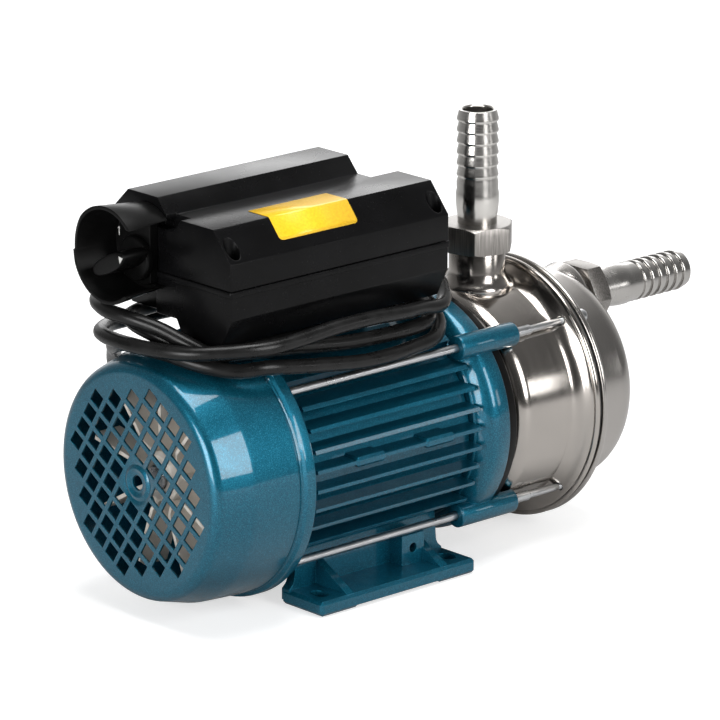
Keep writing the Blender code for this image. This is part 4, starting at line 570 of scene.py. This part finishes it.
def make_spacer():
    """The black ring between the bracket and the bowl."""
    profile = [(0.0460, 0.0693), (0.0556, 0.0693), (0.0562, 0.0698), (0.0562, 0.0742), (0.0558, 0.0749),
               (0.0505, 0.0782), (0.0460, 0.0782)]
    piece("spacer_skin", turned("spacer", profile), SATIN_BLACK, nodes=["spacer_ring"])


def make_rear_plate():
    seat, hub, edge, neck = 0.0178, 0.0220, 0.0615, 0.0500
    profile = [(seat, -0.0660), (hub - 0.0006, -0.0660), (hub, -0.0654), (hub, -0.0600), (edge - 0.0004, -0.0600),
               (edge, -0.0596), (edge, -0.0583), (neck + 0.0006, -0.0583), (neck, -0.0577), (neck, -0.0505),
               (0.0422, -0.0505), (0.0422, -0.0475), (0.0382, -0.0475), (0.0382, -0.0525), (0.0105, -0.0525),
               (0.0105, -0.0537), (seat, -0.0537)]
    plate = turned("rear_plate", profile)
    bores = [drill(0.0023, 0.03, (SHIFT - 0.0540, y, z), 24) for y, z in corners()]
    piece("rear_plate", carve(plate, bores), TEAL, nodes=["rear_shield"])


def make_rods():
    """Tie rods, studs with their threads and collars, and domed nuts."""
    rod = stepped([(-0.0625, 0.0029), (-0.0622, 0.0034), (-0.0603, 0.0034), (-0.0603, 0.0020), (0.0660, 0.0020)])
    start = 0.0858
    stud = [(0.0690, 0.00175), (start, 0.00175), (start, 0.0024), (start + 0.0106, 0.0024),
            (start + 0.0114, 0.00175), (0.1160, 0.00175)]
    for i in range(24):
        at = 0.1165 + i * 0.0006
        stud += [(at, 0.00150), (at + 0.0003, 0.00175)]
    stud = stepped(stud + [(0.1310, 0.00150)])
    rear = RIM_REAR + 2 * RIM_DEPTH + GASKET + 3 * GAP
    nut = [(0.00205, rear), (0.0034, rear), (0.0034, rear + 0.0036), (0.0030, rear + 0.0046),
           (0.0024, rear + 0.0052), (0.00205, rear + 0.0052)]
    for i, (y, z) in enumerate(corners(), start=1):
        place = (SHIFT, y, z)
        piece("rod_%d" % i, moved(revolved("rod", rod, SMALL), place, ALONG_X), ZINC, nodes=["tie_rod_%d" % i])
        piece("stud_%d" % i, moved(revolved("stud", stud, SMALL), place, ALONG_X), ZINC,
              nodes=["pump_stud_%d" % i])
        piece("nut_%d" % i, moved(revolved("nut", nut, SMALL), place, ALONG_X), ZINC, nodes=["stud_nut_%d" % i])


# Pump head
def make_bowl():
    """The deep-drawn bowl: rolled rim, welded socket and its bead."""
    sheet, radius, corner, rear, rim = 0.0015, 0.0545, 0.0085, 0.0785, 0.0643
    middle = (radius - corner, rear + corner)
    step = RIM_REAR - 0.0075
    outer = [(0.0160, rear)] + arc(middle, corner, 270, 360, 14)
    outer += [(radius, step), (radius + 0.0003, step + 0.0012), (radius + 0.0012, step + 0.0028),
              (radius + 0.0026, step + 0.0044), (radius + 0.0048, step + 0.0059), (radius + 0.0072, step + 0.0069)]
    outer += arc((rim - 0.00155, RIM_REAR + 0.00155), 0.00155, 250, 450, 12)
    inner = [(radius - sheet + 0.0002, RIM_REAR + RIM_DEPTH), (radius - sheet, step)]
    inner += arc(middle, corner - sheet, 360, 270, 10) + [(0.0160, rear + sheet)]
    bowl = turned("pump_bowl", outer + inner)
    base, top, r = AXIS + radius - sheet + 0.0002, 0.1365, 0.0135
    socket = stepped([(base - 0.0022, 0.0165), (base + 0.0008, 0.0172), (base + 0.0020, 0.0168),
                      (base + 0.0030, 0.0160), (base + 0.0042, 0.0151), (base + 0.0058, 0.0142),
                      (base + 0.0085, r), (top - 0.0008, r), (top - 0.0002, r - 0.0003), (top, r - 0.0008)])
    changes = [join(moved(revolved("socket", socket, MEDIUM), (DISCHARGE_X + SHIFT, 0, 0)))]
    inside = stepped([(rear + sheet + 0.0012, radius - sheet - 0.0061),
                      (rear + corner + 0.0004, radius - sheet - 0.0001),
                      (RIM_REAR + 0.0081, radius - sheet - 0.0001)])
    changes.append(cut(turned("inside", inside)))
    changes.append(drill(0.0085, 0.04, (DISCHARGE_X + SHIFT, 0, 0.1275), turn=UPRIGHT))
    changes += [drill(0.0021, 0.03, (SHIFT + 0.1180, y, z), 24) for y, z in corners()]
    piece("pump_bowl", carve(bowl, changes), BOWL_METAL, nodes=["rear_casing"])


def make_cover():
    """The pump's cover: rolled rim, drum with a generous corner, and the welded suction socket."""
    sheet, radius, front, corner = 0.0015, 0.0524, 0.1605, 0.0120
    rear = RIM_REAR + RIM_DEPTH + GASKET + 2 * GAP
    flange = rear + RIM_DEPTH
    middle = (radius - corner, front - corner)
    outer = arc((0.0643 - 0.00155, rear + 0.00155), 0.00155, 270, 440, 12)
    outer += [(0.0550, flange - 0.0002), (0.0535, flange + 0.0002), (0.0527, flange + 0.0010),
              (radius, flange + 0.0022)]
    outer += arc(middle, corner, 0, 90, 20) + [(0, front)]
    inner = [(0, front - sheet)] + arc(middle, corner - sheet, 90, 0, 14) + [(radius - sheet, rear)]
    drum = turned("pump_cover", outer + inner)
    r, end = 0.0135, 0.1662
    socket = stepped([(front - corner, 0.0150), (front - 0.0020, 0.0178), (front - 0.0004, 0.0174),
                      (front + 0.0009, 0.0163), (front + 0.0020, 0.0151), (front + 0.0033, 0.0142),
                      (front + 0.0046, r), (end - 0.0006, r), (end, r - 0.0006)])
    changes = [join(moved(revolved("socket", socket, MEDIUM), (SHIFT, 0, SUCTION_Z), ALONG_X))]
    inside = stepped([(rear - 0.005, radius - sheet - 0.0001)]
                     + [(z - 0.0002, r0 - 0.0001) for r0, z in arc(middle, corner - sheet, 0, 90, 14)])
    changes.append(cut(turned("inside", inside)))
    changes.append(drill(0.0085, 0.06, (SHIFT + 0.1600, 0, SUCTION_Z)))
    changes += [drill(0.0021, 0.02, (SHIFT + rear, y, z), 24) for y, z in corners()]
    piece("pump_cover", carve(drum, changes), DRUM_METAL, nodes=["front_cover"])


def make_barb(name, cad, metal, place, turn, hex_low, hex_high, corner_r, hex_turn):
    """A hose barb with its hex, plain neck and bevelled ridges."""
    r, bite, wall, base, ridges, pitch = 0.0100, 0.0010, 0.0017, 0.0357, 6, 0.0054
    inner = r - bite - wall
    end = base + ridges * pitch
    profile = [(inner, hex_high - 0.0004), (r - 0.0006, hex_high - 0.0004), (r - 0.0006, 0.0158),
               (r - 0.0002, 0.0178), (r + 0.0003, 0.0230), (r + 0.0003, 0.0275), (r - 0.0001, 0.0290),
               (r, base - 0.003), (r - 0.0006, base - 0.0006), (r - 0.0006, base)]
    for i in range(ridges):
        low = base + i * pitch
        profile += [(r - 0.0002, low + 0.0001), (r, low + 0.0004), (r, low + 0.0010),
                    (r - bite, low + pitch * 0.94), (r - bite, low + pitch * 0.99)]
    profile += [(r - bite - 0.0003, end - 0.0002), (inner + 0.0006, end), (inner, end - 0.0006)]
    body = revolved(name, profile, MEDIUM)
    nut = moved(cylinder("hex", corner_r, hex_high - hex_low, 6), (0, 0, (hex_low + hex_high) / 2),
                spun(hex_turn))
    face = corner_r - 0.0023
    chamfer = revolved("chamfer", stepped([(hex_low - 0.001, face), (hex_low, face + 0.0006),
                                           (hex_low + 0.0010, corner_r + 0.0003),
                                           (hex_high - 0.0014, corner_r + 0.0003), (hex_high, face),
                                           (hex_high + 0.001, face - 0.001)]), MEDIUM)
    bore = revolved("bore", stepped([(hex_low - 0.005, inner), (hex_high + 0.005, inner)]), MEDIUM)
    nut = carve(carve(nut, [("INTERSECT", chamfer)], 0.0003, 2, 25), [cut(bore)])
    piece(name, moved(body, place, turn), metal, nodes=[cad])
    piece(name + "_hex", moved(nut, place, turn), HEX_METAL)


# Control box
def inset(points, distance):
    sign = 1 if loop_area(points) > 0 else -1
    count = len(points)
    result = []
    for i in range(count):
        before, here, after = (Vector(points[(i + k) % count]) for k in (-1, 0, 1))
        first, second = (here - before).normalized(), (after - here).normalized()
        normal_a = Vector((-first.y, first.x)) * sign
        normal_b = Vector((-second.y, second.x)) * sign
        middle = (normal_a + normal_b).normalized()
        result.append(tuple(here + middle * distance / max(middle.dot(normal_a), 0.3)))
    return result


REAR, FRONT, RIDGE_FRONT, HALF = -0.0880, 0.0450, 0.0280, 0.0400
SEAM, SHOULDER, PLATEAU, RIDGE, WALL = 0.1584, 0.1712, 0.1853, 0.1930, 0.0022
STEP_Y, RECESS_X, RECESS_Y, RECESS_TOP = -0.0055, REAR + 0.0040, 0.0120, 0.1841


def box_prism(name, outline, start, end):
    return moved(extruded(name, [outline], end - start), (SHIFT + (start + end) / 2, 0, 0), SECTION)


def plan_cuts(low, high):
    front = cuboid("plan_front", (SHIFT + RIDGE_FRONT, STEP_Y, low), (SHIFT + 0.07, 0.06, high))
    rear = cuboid("plan_rear", (SHIFT + REAR - 0.02, RECESS_Y, low), (SHIFT + RECESS_X, 0.06, RECESS_TOP))
    return [cut(front), cut(rear)]


def screw_places():
    return [(REAR + 0.0048, -0.0352), (FRONT - 0.0048, -0.0352), (REAR + 0.0088, 0.0352),
            (RIDGE_FRONT - 0.0048, 0.0352)]


def make_lid():
    w, bottom = HALF, SEAM + GAP
    outline = [(-w, bottom), (-w, SHOULDER), (-0.028, PLATEAU), (0.0035, PLATEAU), (0.0104, RIDGE),
               (0.031, RIDGE), (w, RIDGE - 0.0085), (w, bottom)]
    cavity = inset(outline, WALL)
    cavity[0], cavity[-1] = (cavity[0][0], bottom - 0.02), (cavity[-1][0], bottom - 0.02)
    lid = box_prism("lid_skin", outline, REAR, FRONT)
    changes = plan_cuts(bottom - 0.03, RIDGE + 0.02)
    over = PLATEAU + 0.0012
    notch = [(-0.0069, over), (-0.0005, 0.1790), (RECESS_Y + 0.0001, 0.1790), (RECESS_Y + 0.0001, RECESS_TOP),
             (0.0042, RECESS_TOP), (0.0042, over)]
    changes.append(cut(box_prism("notch", notch, REAR - 0.01, REAR + 0.006)))
    lid = carve(lid, changes, 0.0010, 3, 20)
    hollow = [cut(box_prism("cavity", cavity, REAR + 0.0102, RIDGE_FRONT - WALL))]
    for x, y in screw_places():
        funnel = cylinder("funnel", 0.0033, 0.0255, 32, 0.0045)
        hollow.append(join(moved(cylinder("column", 0.0043, SHOULDER - bottom - 0.0002, 32),
                                 (SHIFT + x, y, (SHOULDER + bottom + 0.0002) / 2))))
        hollow.append(cut(moved(funnel, (SHIFT + x, y, 0.1655 + 0.01275))))
    piece("lid_skin", carve(lid, hollow), BLACK, nodes=["box_lid"])


def make_base():
    w = HALF
    outline = [(-w, SEAM), (-w, 0.1453), (-0.033, 0.1313), (-0.006, 0.1313), (-0.002, 0.1385), (0.034, 0.1385),
               (w, 0.1460), (w, SEAM)]
    base = box_prism("base_skin", outline, REAR, FRONT)
    base = carve(base, plan_cuts(0.11, 0.19), 0.0011, 3, 20)
    band = [(REAR, -w), (FRONT, -w), (FRONT, STEP_Y), (RIDGE_FRONT, STEP_Y), (RIDGE_FRONT, w), (RECESS_X, w),
            (RECESS_X, RECESS_Y), (REAR, RECESS_Y)]
    ring = extruded("band", [rounded(inset(band, -0.0007), 0.0012), inset(band, 0.0011)], 0.0026)
    ring = carve(moved(ring, (SHIFT, 0, SEAM - 0.0013)), [], 0.0004, 2)
    neck = cuboid("neck", (SHIFT - 0.036, -0.011, 0.1311), (SHIFT + 0.024, 0.024, 0.1395))
    hood = carve(cuboid("hood", (SHIFT + 0.036, -0.0258, 0.1211), (SHIFT + 0.040, -0.0142, 0.1323)), [], 0.001, 3)
    seat = moved(cylinder("collar_seat", 0.0211, 0.0039, FINE), (SHIFT + REAR - 0.00205, COLLAR_Y, COLLAR_Z),
                 ALONG_X)
    seat = carve(seat, [cut(cuboid("open_side", (SHIFT - 0.12, -0.02, 0.14), (SHIFT - 0.06, OPEN_Y, 0.20)))])
    changes = [join(ring), join(neck), join(hood), cut(seat)]
    piece("base_skin", carve(base, changes), BLACK, nodes=["box_base"])


def make_box_screws():
    profile = stepped([(-0.0120, 0.0012), (-0.0110, 0.0015), (0.0, 0.0015), (0.0, 0.0029), (0.0008, 0.0029),
                       (0.0014, 0.0026), (0.0019, 0.0020), (0.0022, 0.0011)])
    for i, (x, y) in enumerate(screw_places(), start=1):
        head = revolved("box_screw", profile, SMALL)
        cross = [cut(cuboid("cross", (-0.0016, -0.0003, 0.0010), (0.0016, 0.0003, 0.004))),
                 cut(cuboid("cross", (-0.0003, -0.0016, 0.0010), (0.0003, 0.0016, 0.004)))]
        place = (SHIFT + x, y, 0.1655 + GAP)
        piece("lid_screw_%d" % i, moved(carve(head, cross), place), ZINC, nodes=["box_screw_%d" % i])


def make_switch():
    """The flared collar with its open near side, the dial and the bar knob."""
    front, dial = -0.1133, -0.0930
    profile = [(0.0211, front), (0.0228, front), (0.0205, REAR - GAP), (0.0176, REAR - GAP),
               (0.0176, dial + 0.0024), (0.0190, dial + 0.0024)]
    ring = moved(revolved("collar_skin", profile), (SHIFT, COLLAR_Y, COLLAR_Z), ALONG_X)
    mouth = Matrix.Translation((SHIFT + front + 0.0002, COLLAR_Y + 0.0225, COLLAR_Z)) @ spun(-10)
    trims = []
    for low, deep in ((-0.05, 0.0), (-0.0014, 0.0008)):
        trim = cuboid("mouth", (-0.03, -0.08, low), (deep, 0.03, 0.05))
        trims.append(cut(moved(trim, turn=mouth)))
    near = cuboid("near", (SHIFT - 0.1250, -0.0100, 0.1525), (SHIFT - 0.0870, 0.0105, 0.1836))
    trims.append(cut(near))
    plate = cuboid("plate", (SHIFT + REAR - 2 * GAP, 0.0130, 0.1500), (SHIFT + REAR + 0.0030, 0.0375, 0.1838))
    bore = drill(0.0175, 0.0065, (SHIFT - 0.09125, COLLAR_Y, COLLAR_Z), FINE)
    ring = carve(ring, trims, 0.0004, 2)
    piece("collar_skin", carve(ring, [join(plate), bore]), SATIN_BLACK, nodes=["switch_collar"])
    disc = stepped([(dial + 0.0004, 0.0168), (dial + 0.0008, 0.0172), (REAR - GAP, 0.0172)])
    body = moved(revolved("dial_skin", disc), (SHIFT, COLLAR_Y, COLLAR_Z), ALONG_X)
    hole = drill(0.0035, 0.0062, (SHIFT + dial + 0.0011, KNOB_Y, KNOB_Z), 40)
    open_side = cuboid("open_side", (SHIFT - 0.1200, -0.0300, 0.1400), (SHIFT - 0.0850, OPEN_Y, 0.1950))
    piece("dial_skin", carve(body, [hole, cut(open_side)]), SATIN_BLACK, nodes=["switch_body"])
    knob = stepped([(-0.0029, 0.0093), (-0.0027, 0.0100), (-0.0020, 0.0105), (0.0001, 0.0105), (0.0001, 0.0032),
                    (0.0036, 0.0032)])
    disc = moved(revolved("knob_skin", knob), (0, 0, 0), ALONG_X)
    half = [(0.0128, 0.0), (0.0120, 0.0016), (0.0085, 0.0031), (0.0040, 0.0040), (-0.0020, 0.0042), (-0.0078, 0.0036),
            (-0.0110, 0.0024), (-0.0122, 0.0010)]
    outline = half + [(a, -b) for a, b in reversed(half[1:])]
    grip = carve(extruded("grip", [rounded(outline, 0.003, 3)], 0.0150), [], 0.0012, 4)
    lean = Matrix.Translation((-0.0100, 0, 0)) @ ALONG_X @ spun(KNOB_LEAN)
    whole = carve(disc, [join(moved(grip, turn=lean))], 0.0002, 2)
    piece("knob_skin", moved(whole, (SHIFT + dial, KNOB_Y, KNOB_Z)), SATIN_BLACK, "knob", ["switch_knob"])
    mark = extruded("pointer_mark", [[(0.0118, 0.0006), (0.0086, 0.0022), (0.0094, -0.0012)]], 0.0002)
    mark = moved(mark, (SHIFT + dial - 0.0175, KNOB_Y, KNOB_Z), ALONG_X @ spun(KNOB_LEAN))
    piece("pointer_mark", mark, PALE_PRINT, "knob")
    one = [(-0.0003, -0.0021), (0.0003, -0.0021), (0.0003, 0.0013), (0.0010, 0.0008), (0.0010, 0.0013),
           (0.0003, 0.0021), (-0.0003, 0.0021)]
    piece("dial_digit", moved(extruded("digit", [one], 0.0002), (SHIFT + dial + 0.0004, 0.0320, 0.1740), SECTION),
          PALE_PRINT)


def make_label():
    """A plain film label folded over the lid's edge."""
    low, high = -0.0550, -0.0075
    lift = 0.00012
    foot = (-0.0360, 0.1759)
    path = [(foot[0] + s * 0.648, foot[1] + s * 0.7615, s) for s in (0.0, 0.0003, 0.0008, 0.0014, 0.0022, 0.0060)]
    path += [(-0.0284, 0.18483, 1), (-0.0280, 0.18520, 1), (-0.0272, 0.1853, 1), (-0.0140, 0.1853, 1)]
    shape = bmesh.new()
    rows = []
    for y, z, along in path:
        raised_y, raised_z = (y - lift * 0.75, z + lift * 0.66) if y < -0.0282 else (y, z + lift)
        short = max(0.0022 - along, 0.0)
        turn_in = 0.0022 - math.sqrt(0.0022 ** 2 - short ** 2)
        rows.append([shape.verts.new((SHIFT + x, raised_y, raised_z)) for x in (low + turn_in, high - turn_in)])
    for first, second in zip(rows, rows[1:]):
        shape.faces.new([first[0], first[1], second[1], second[0]])
    film = finish_mesh(shape, "label")
    made = piece("label", film, LABEL)
    thick = made.modifiers.new("film", "SOLIDIFY")
    thick.thickness = 0.0001
    thick.offset = 1


def make_gland():
    profile = stepped([(0.0265, 0.0039), (0.0270, 0.0042), (0.0296, 0.0043), (0.0320, 0.0043), (0.0321, 0.0049),
                       (0.0357, 0.0049)])
    piece("gland_skin", moved(revolved("gland", profile, MEDIUM), (SHIFT, -0.0200, 0.1260), ALONG_X),
          SATIN_BLACK, nodes=["cord_gland"])


# Mains cord
CORD_ROUTE = (
    (0.0262, -0.0200, 0.1260), (0.0150, -0.0200, 0.1260), (-0.0050, -0.0205, 0.1264),
    (-0.0220, -0.0230, 0.1268), (-0.0400, -0.0270, 0.1268), (-0.0560, -0.0290, 0.1268),
    (-0.0690, -0.0250, 0.1270), (-0.0820, -0.0190, 0.1271), (-0.0925, -0.0102, 0.1283),
    (-0.0986, 0.0035, 0.1328), (-0.0975, 0.0175, 0.1348), (-0.0880, 0.0295, 0.1344),
    (-0.0700, 0.0362, 0.1333), (-0.0450, 0.0385, 0.1328), (-0.0100, 0.0390, 0.1328),
    (0.0150, 0.0390, 0.1336), (0.0350, 0.0350, 0.1355), (0.0500, 0.0240, 0.1368),
    (0.0600, 0.0070, 0.1368), (0.0610, -0.0090, 0.1353),
    (0.0570, -0.0225, 0.1320), (0.0495, -0.0325, 0.1284), (0.0410, -0.0375, 0.1275),
    (0.0280, -0.0402, 0.1295), (0.0140, -0.0440, 0.1310), (-0.0080, -0.0465, 0.1330),
    (-0.0300, -0.0470, 0.1332), (-0.0500, -0.0470, 0.1318), (-0.0700, -0.0465, 0.1310),
    (-0.0870, -0.0395, 0.1308), (-0.1010, -0.0265, 0.1298), (-0.1080, -0.0090, 0.1296),
    (-0.1115, 0.0090, 0.1298), (-0.1080, 0.0270, 0.1295), (-0.0960, 0.0385, 0.1282),
    (-0.0780, 0.0455, 0.1262), (-0.0500, 0.0475, 0.1250), (-0.0150, 0.0475, 0.1240),
    (0.0150, 0.0435, 0.1235), (0.0350, 0.0330, 0.1240), (0.0453, 0.0175, 0.1260),
    (0.0486, 0.0010, 0.1268),
    (0.0483, -0.0130, 0.1260), (0.0456, -0.0245, 0.1240), (0.0395, -0.0330, 0.1216),
    (0.0300, -0.0378, 0.1206), (0.0100, -0.0390, 0.1204), (-0.0150, -0.0395, 0.1216),
    (-0.0350, -0.0393, 0.1238), (-0.0520, -0.0387, 0.1260), (-0.0660, -0.0373, 0.1269),
    (-0.0790, -0.0335, 0.1271), (-0.0885, -0.0285, 0.1271), (-0.0962, -0.0185, 0.1322),
    (-0.1015, -0.0060, 0.1372), (-0.1080, 0.0070, 0.1408), (-0.1105, 0.0200, 0.1423),
    (-0.1040, 0.0350, 0.1428), (-0.0900, 0.0450, 0.1426), (-0.0720, 0.0485, 0.1422),
    (-0.0500, 0.0485, 0.1418), (-0.0200, 0.0485, 0.1405), (0.0050, 0.0485, 0.1375),
    (0.0250, 0.0475, 0.1320), (0.0400, 0.0410, 0.1285), (0.0500, 0.0280, 0.1276),
    (0.0556, 0.0120, 0.1270),
    (0.0564, -0.0020, 0.1253), (0.0550, -0.0155, 0.1222), (0.0486, -0.0300, 0.1164),
    (0.0360, -0.0398, 0.1133), (0.0200, -0.0430, 0.1128), (0.0050, -0.0460, 0.1130),
    (-0.0150, -0.0470, 0.1138), (-0.0350, -0.0475, 0.1165), (-0.0550, -0.0475, 0.1195),
    (-0.0720, -0.0450, 0.1216), (-0.0840, -0.0385, 0.1208), (-0.0950, -0.0263, 0.1233),
    (-0.1010, -0.0104, 0.1263), (-0.1025, 0.0042, 0.1264), (-0.1000, 0.0195, 0.1246),
    (-0.0945, 0.0344, 0.1195), (-0.0850, 0.0460, 0.1135), (-0.0760, 0.0570, 0.1035),
    (-0.0660, 0.0655, 0.0910), (-0.0565, 0.0705, 0.0770), (-0.0470, 0.0725, 0.0590),
    (-0.0380, 0.0730, 0.0400), (-0.0270, 0.0735, 0.0210), (-0.0140, 0.0750, 0.0082),
    (0.0020, 0.0780, 0.0038), (0.0180, 0.0810, 0.0052), (0.0310, 0.0830, 0.0120),
    (0.0430, 0.0843, 0.0168), (0.0555, 0.0845, 0.0175),
)


def smooth_route(points, count):
    """Points along a smooth curve through the given ones, evenly spaced along it."""
    knots = [Vector(p) for p in points]
    ends = [knots[0] * 2 - knots[1]] + knots + [knots[-1] * 2 - knots[-2]]
    fine = []
    for p0, p1, p2, p3 in zip(ends, ends[1:], ends[2:], ends[3:]):
        for k in range(12):
            t = k / 12
            fine.append(0.5 * ((2 * p1) + (p2 - p0) * t + (2 * p0 - 5 * p1 + 4 * p2 - p3) * t ** 2
                               + (3 * p1 - p0 - 3 * p2 + p3) * t ** 3))
    fine.append(knots[-1])
    measure = np.cumsum([0.0] + [(b - a).length for a, b in zip(fine, fine[1:])])
    coordinates = np.array([tuple(p) for p in fine])
    wanted = np.linspace(0.0, measure[-1], count)
    return np.stack([np.interp(wanted, measure, coordinates[:, k]) for k in range(3)], axis=1)


def make_plug():
    """The two-pin plug on the floor behind the motor: ribbed relief, grip, face and pins."""
    x0, y0, z0 = 0.056, 0.0845, 0.0175
    start = GAP
    relief = [(start, 0.0041)]
    for i in range(6):
        at = start + 0.002 + i * 0.0033
        r = 0.0044 + i * 0.0004
        relief += [(at, r), (at + 0.0018, r), (at + 0.0022, r - 0.0007), (at + 0.0030, r - 0.0007)]
    grip = [(start + 0.022, 0.0068), (start + 0.0245, 0.0098), (start + 0.027, 0.0106), (start + 0.032, 0.0112),
            (start + 0.036, 0.0124), (start + 0.0395, 0.0152), (start + 0.0415, 0.0168), (start + 0.0425, 0.0172),
            (start + 0.0510, 0.0172), (start + 0.0517, 0.0169), (start + 0.0520, 0.0162)]
    body = piece("plug_skin", moved(revolved("plug", stepped(relief + grip), MEDIUM), (SHIFT + x0, y0, z0), ALONG_X),
                 SATIN_BLACK, nodes=["plug_body"])
    pins = []
    face = x0 + start + 0.052 + GAP
    shaft = stepped([(0, 0.0024), (0.0165, 0.0024), (0.0182, 0.0020), (0.0190, 0.0012)])
    for i, side in enumerate((-1, 1), start=1):
        place = (SHIFT + face, y0 + side * 0.0095, z0)
        pins.append(piece("pin_%d" % i, moved(revolved("pin", shaft, SMALL), place, ALONG_X), BRASS,
                          nodes=["plug_pin_%d" % i]))
    return [body] + pins


def make_cord():
    curve = bpy.data.curves.new("cord_skin", "CURVE")
    curve.dimensions = "3D"
    curve.bevel_depth = 0.0035
    curve.bevel_resolution = 4
    curve.use_fill_caps = True
    curve.materials.append(SHEATH)
    route = smooth_route(CORD_ROUTE, 420)
    spline = curve.splines.new("POLY")
    spline.points.add(len(route) - 1)
    for point, (x, y, z) in zip(spline.points, route):
        point.co = (x + SHIFT, y, z, 1)
    spline.use_smooth = True
    made = bpy.data.objects.new("cord_skin", curve)
    bpy.context.scene.collection.objects.link(made)
    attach(made, "root")
    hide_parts("mains_cord")
    make_plug()


make_cord()
make_fan_cover()
make_front_bracket()
make_spacer()
make_rear_plate()
make_rods()
make_bowl()
make_cover()
make_barb("barb_up", "discharge_barb", UP_METAL, (DISCHARGE_X + SHIFT, 0, 0.1368), UPRIGHT,
          0.0, 0.0128, 0.0185, 13)
make_barb("barb_front", "suction_barb", SHADED_FRONT_METAL, (0.1705 + SHIFT, 0, SUCTION_Z), ALONG_X,
          -0.0041, 0.0063, 0.0170, 1)
make_lid()
make_base()
make_box_screws()
make_switch()
make_label()
make_gland()

CARRIED = {
    "motor_frame": TEAL, "stator_core": LAMINATIONS, "rotor_core": LAMINATIONS, "coil_end_rear": WINDING,
    "coil_end_front": WINDING, "rear_bearing_outer": STEEL, "rear_bearing_inner": STEEL,
    "front_bearing_outer": STEEL, "front_bearing_inner": STEEL, "motor_shaft": STEEL, "cooling_fan": CREAM,
    "impeller": BOWL_METAL, "impeller_nut": BOWL_METAL, "wear_plate": BOWL_METAL, "seal_seat": CARBON,
    "seal_head": CARBON, "casing_gasket": SOFT_RUBBER, "box_gasket": SOFT_RUBBER,
    "run_capacitor": ZINC,
}
for name, material in CARRIED.items():
    mesh = bpy.data.objects[name].data
    mesh.materials.clear()
    mesh.materials.append(material)


def make_floor():
    """A pale floor that keeps the pump's shadow and melts into the white background further off."""
    shape = bmesh.new()
    bmesh.ops.create_grid(shape, x_segments=1, y_segments=1, size=6.0)
    floor = bpy.data.objects.new("floor", finish_mesh(shape, "floor", smooth=False))
    material, tree, shader = start_material("floor")
    fix(shader, Base_Color=(0.55, 0.55, 0.55, 1), Roughness=0.8)
    seen = node(tree, "ShaderNodeLightPath").outputs
    away = node(tree, "ShaderNodeVectorMath", {0: place_in_frame(tree)}, operation="LENGTH")
    lift = node(tree, "ShaderNodeMapRange", {"Value": away.outputs["Value"]})
    fix(lift, From_Min=0.35, From_Max=1.3, To_Min=0.62)
    amount = node(tree, "ShaderNodeMath", {0: seen["Is Camera Ray"], 1: lift.outputs["Result"]}, operation="MULTIPLY")
    glow = node(tree, "ShaderNodeEmission", {"Strength": amount.outputs[0]})
    both = node(tree, "ShaderNodeAddShader", {0: shader.outputs[0], 1: glow.outputs[0]})
    tree.links.new(both.outputs[0], tree.nodes["Material Output"].inputs["Surface"])
    floor.data.materials.append(material)
    floor.location.z = -0.0005
    bpy.context.scene.collection.objects.link(floor)


def make_lamp(name, place, size, power):
    data = bpy.data.lights.new(name, "AREA")
    data.shape = "RECTANGLE"
    data.size, data.size_y = size
    data.energy = power
    lamp = bpy.data.objects.new(name, data)
    lamp.location = place
    lamp.rotation_euler = (AIM - Vector(place)).to_track_quat("-Z", "Y").to_euler()
    bpy.context.scene.collection.objects.link(lamp)


def make_world():
    """White for the camera, and a soft studio for everything else."""
    world = bpy.data.worlds.new("studio")
    bpy.context.scene.world = world
    world.use_nodes = True
    tree = world.node_tree
    back = tree.nodes["Background"]
    seen = node(tree, "ShaderNodeLightPath").outputs
    direction = node(tree, "ShaderNodeTexCoord").outputs["Generated"]
    away = node(tree, "ShaderNodeVectorMath", {0: direction}, operation="DOT_PRODUCT")
    away.inputs[1].default_value = (0.655, 0.720, 0.230)
    room = node(tree, "ShaderNodeMapRange", {"Value": away.outputs["Value"]})
    fix(room, From_Min=-1.0, From_Max=1.0)
    shades = ramp(tree, room.outputs["Result"], [(0.0, (0.06, 0.06, 0.06)), (0.45, (0.10, 0.10, 0.10)),
                                                 (0.70, (0.20, 0.20, 0.20)), (0.86, (0.42, 0.42, 0.42)),
                                                 (0.95, (1.0, 1.0, 1.0))])
    mix = node(tree, "ShaderNodeMix", data_type="RGBA")
    fix(mix, B=(1, 1, 1, 1))
    feed(mix, Factor=seen["Is Camera Ray"])
    feed(mix, A=shades)
    feed(back, Color=mix.outputs["Result"])
    fix(back, Strength=1.0)


make_floor()
make_world()
make_lamp("key", (0.10, -1.25, 0.62), (0.50, 0.80), 11)
make_lamp("side", (0.80, -1.05, 0.30), (0.22, 0.26), 0.7)
make_lamp("left", (-1.5, -0.35, 0.35), (0.7, 0.7), 16)
make_lamp("back", (1.64, 1.80, 0.80), (1.4, 0.8), 7.7)
make_lamp("top", (0.0, -0.1, 1.6), (1.1, 0.8), 24)
bpy.context.scene.view_settings.view_transform = "Standard"
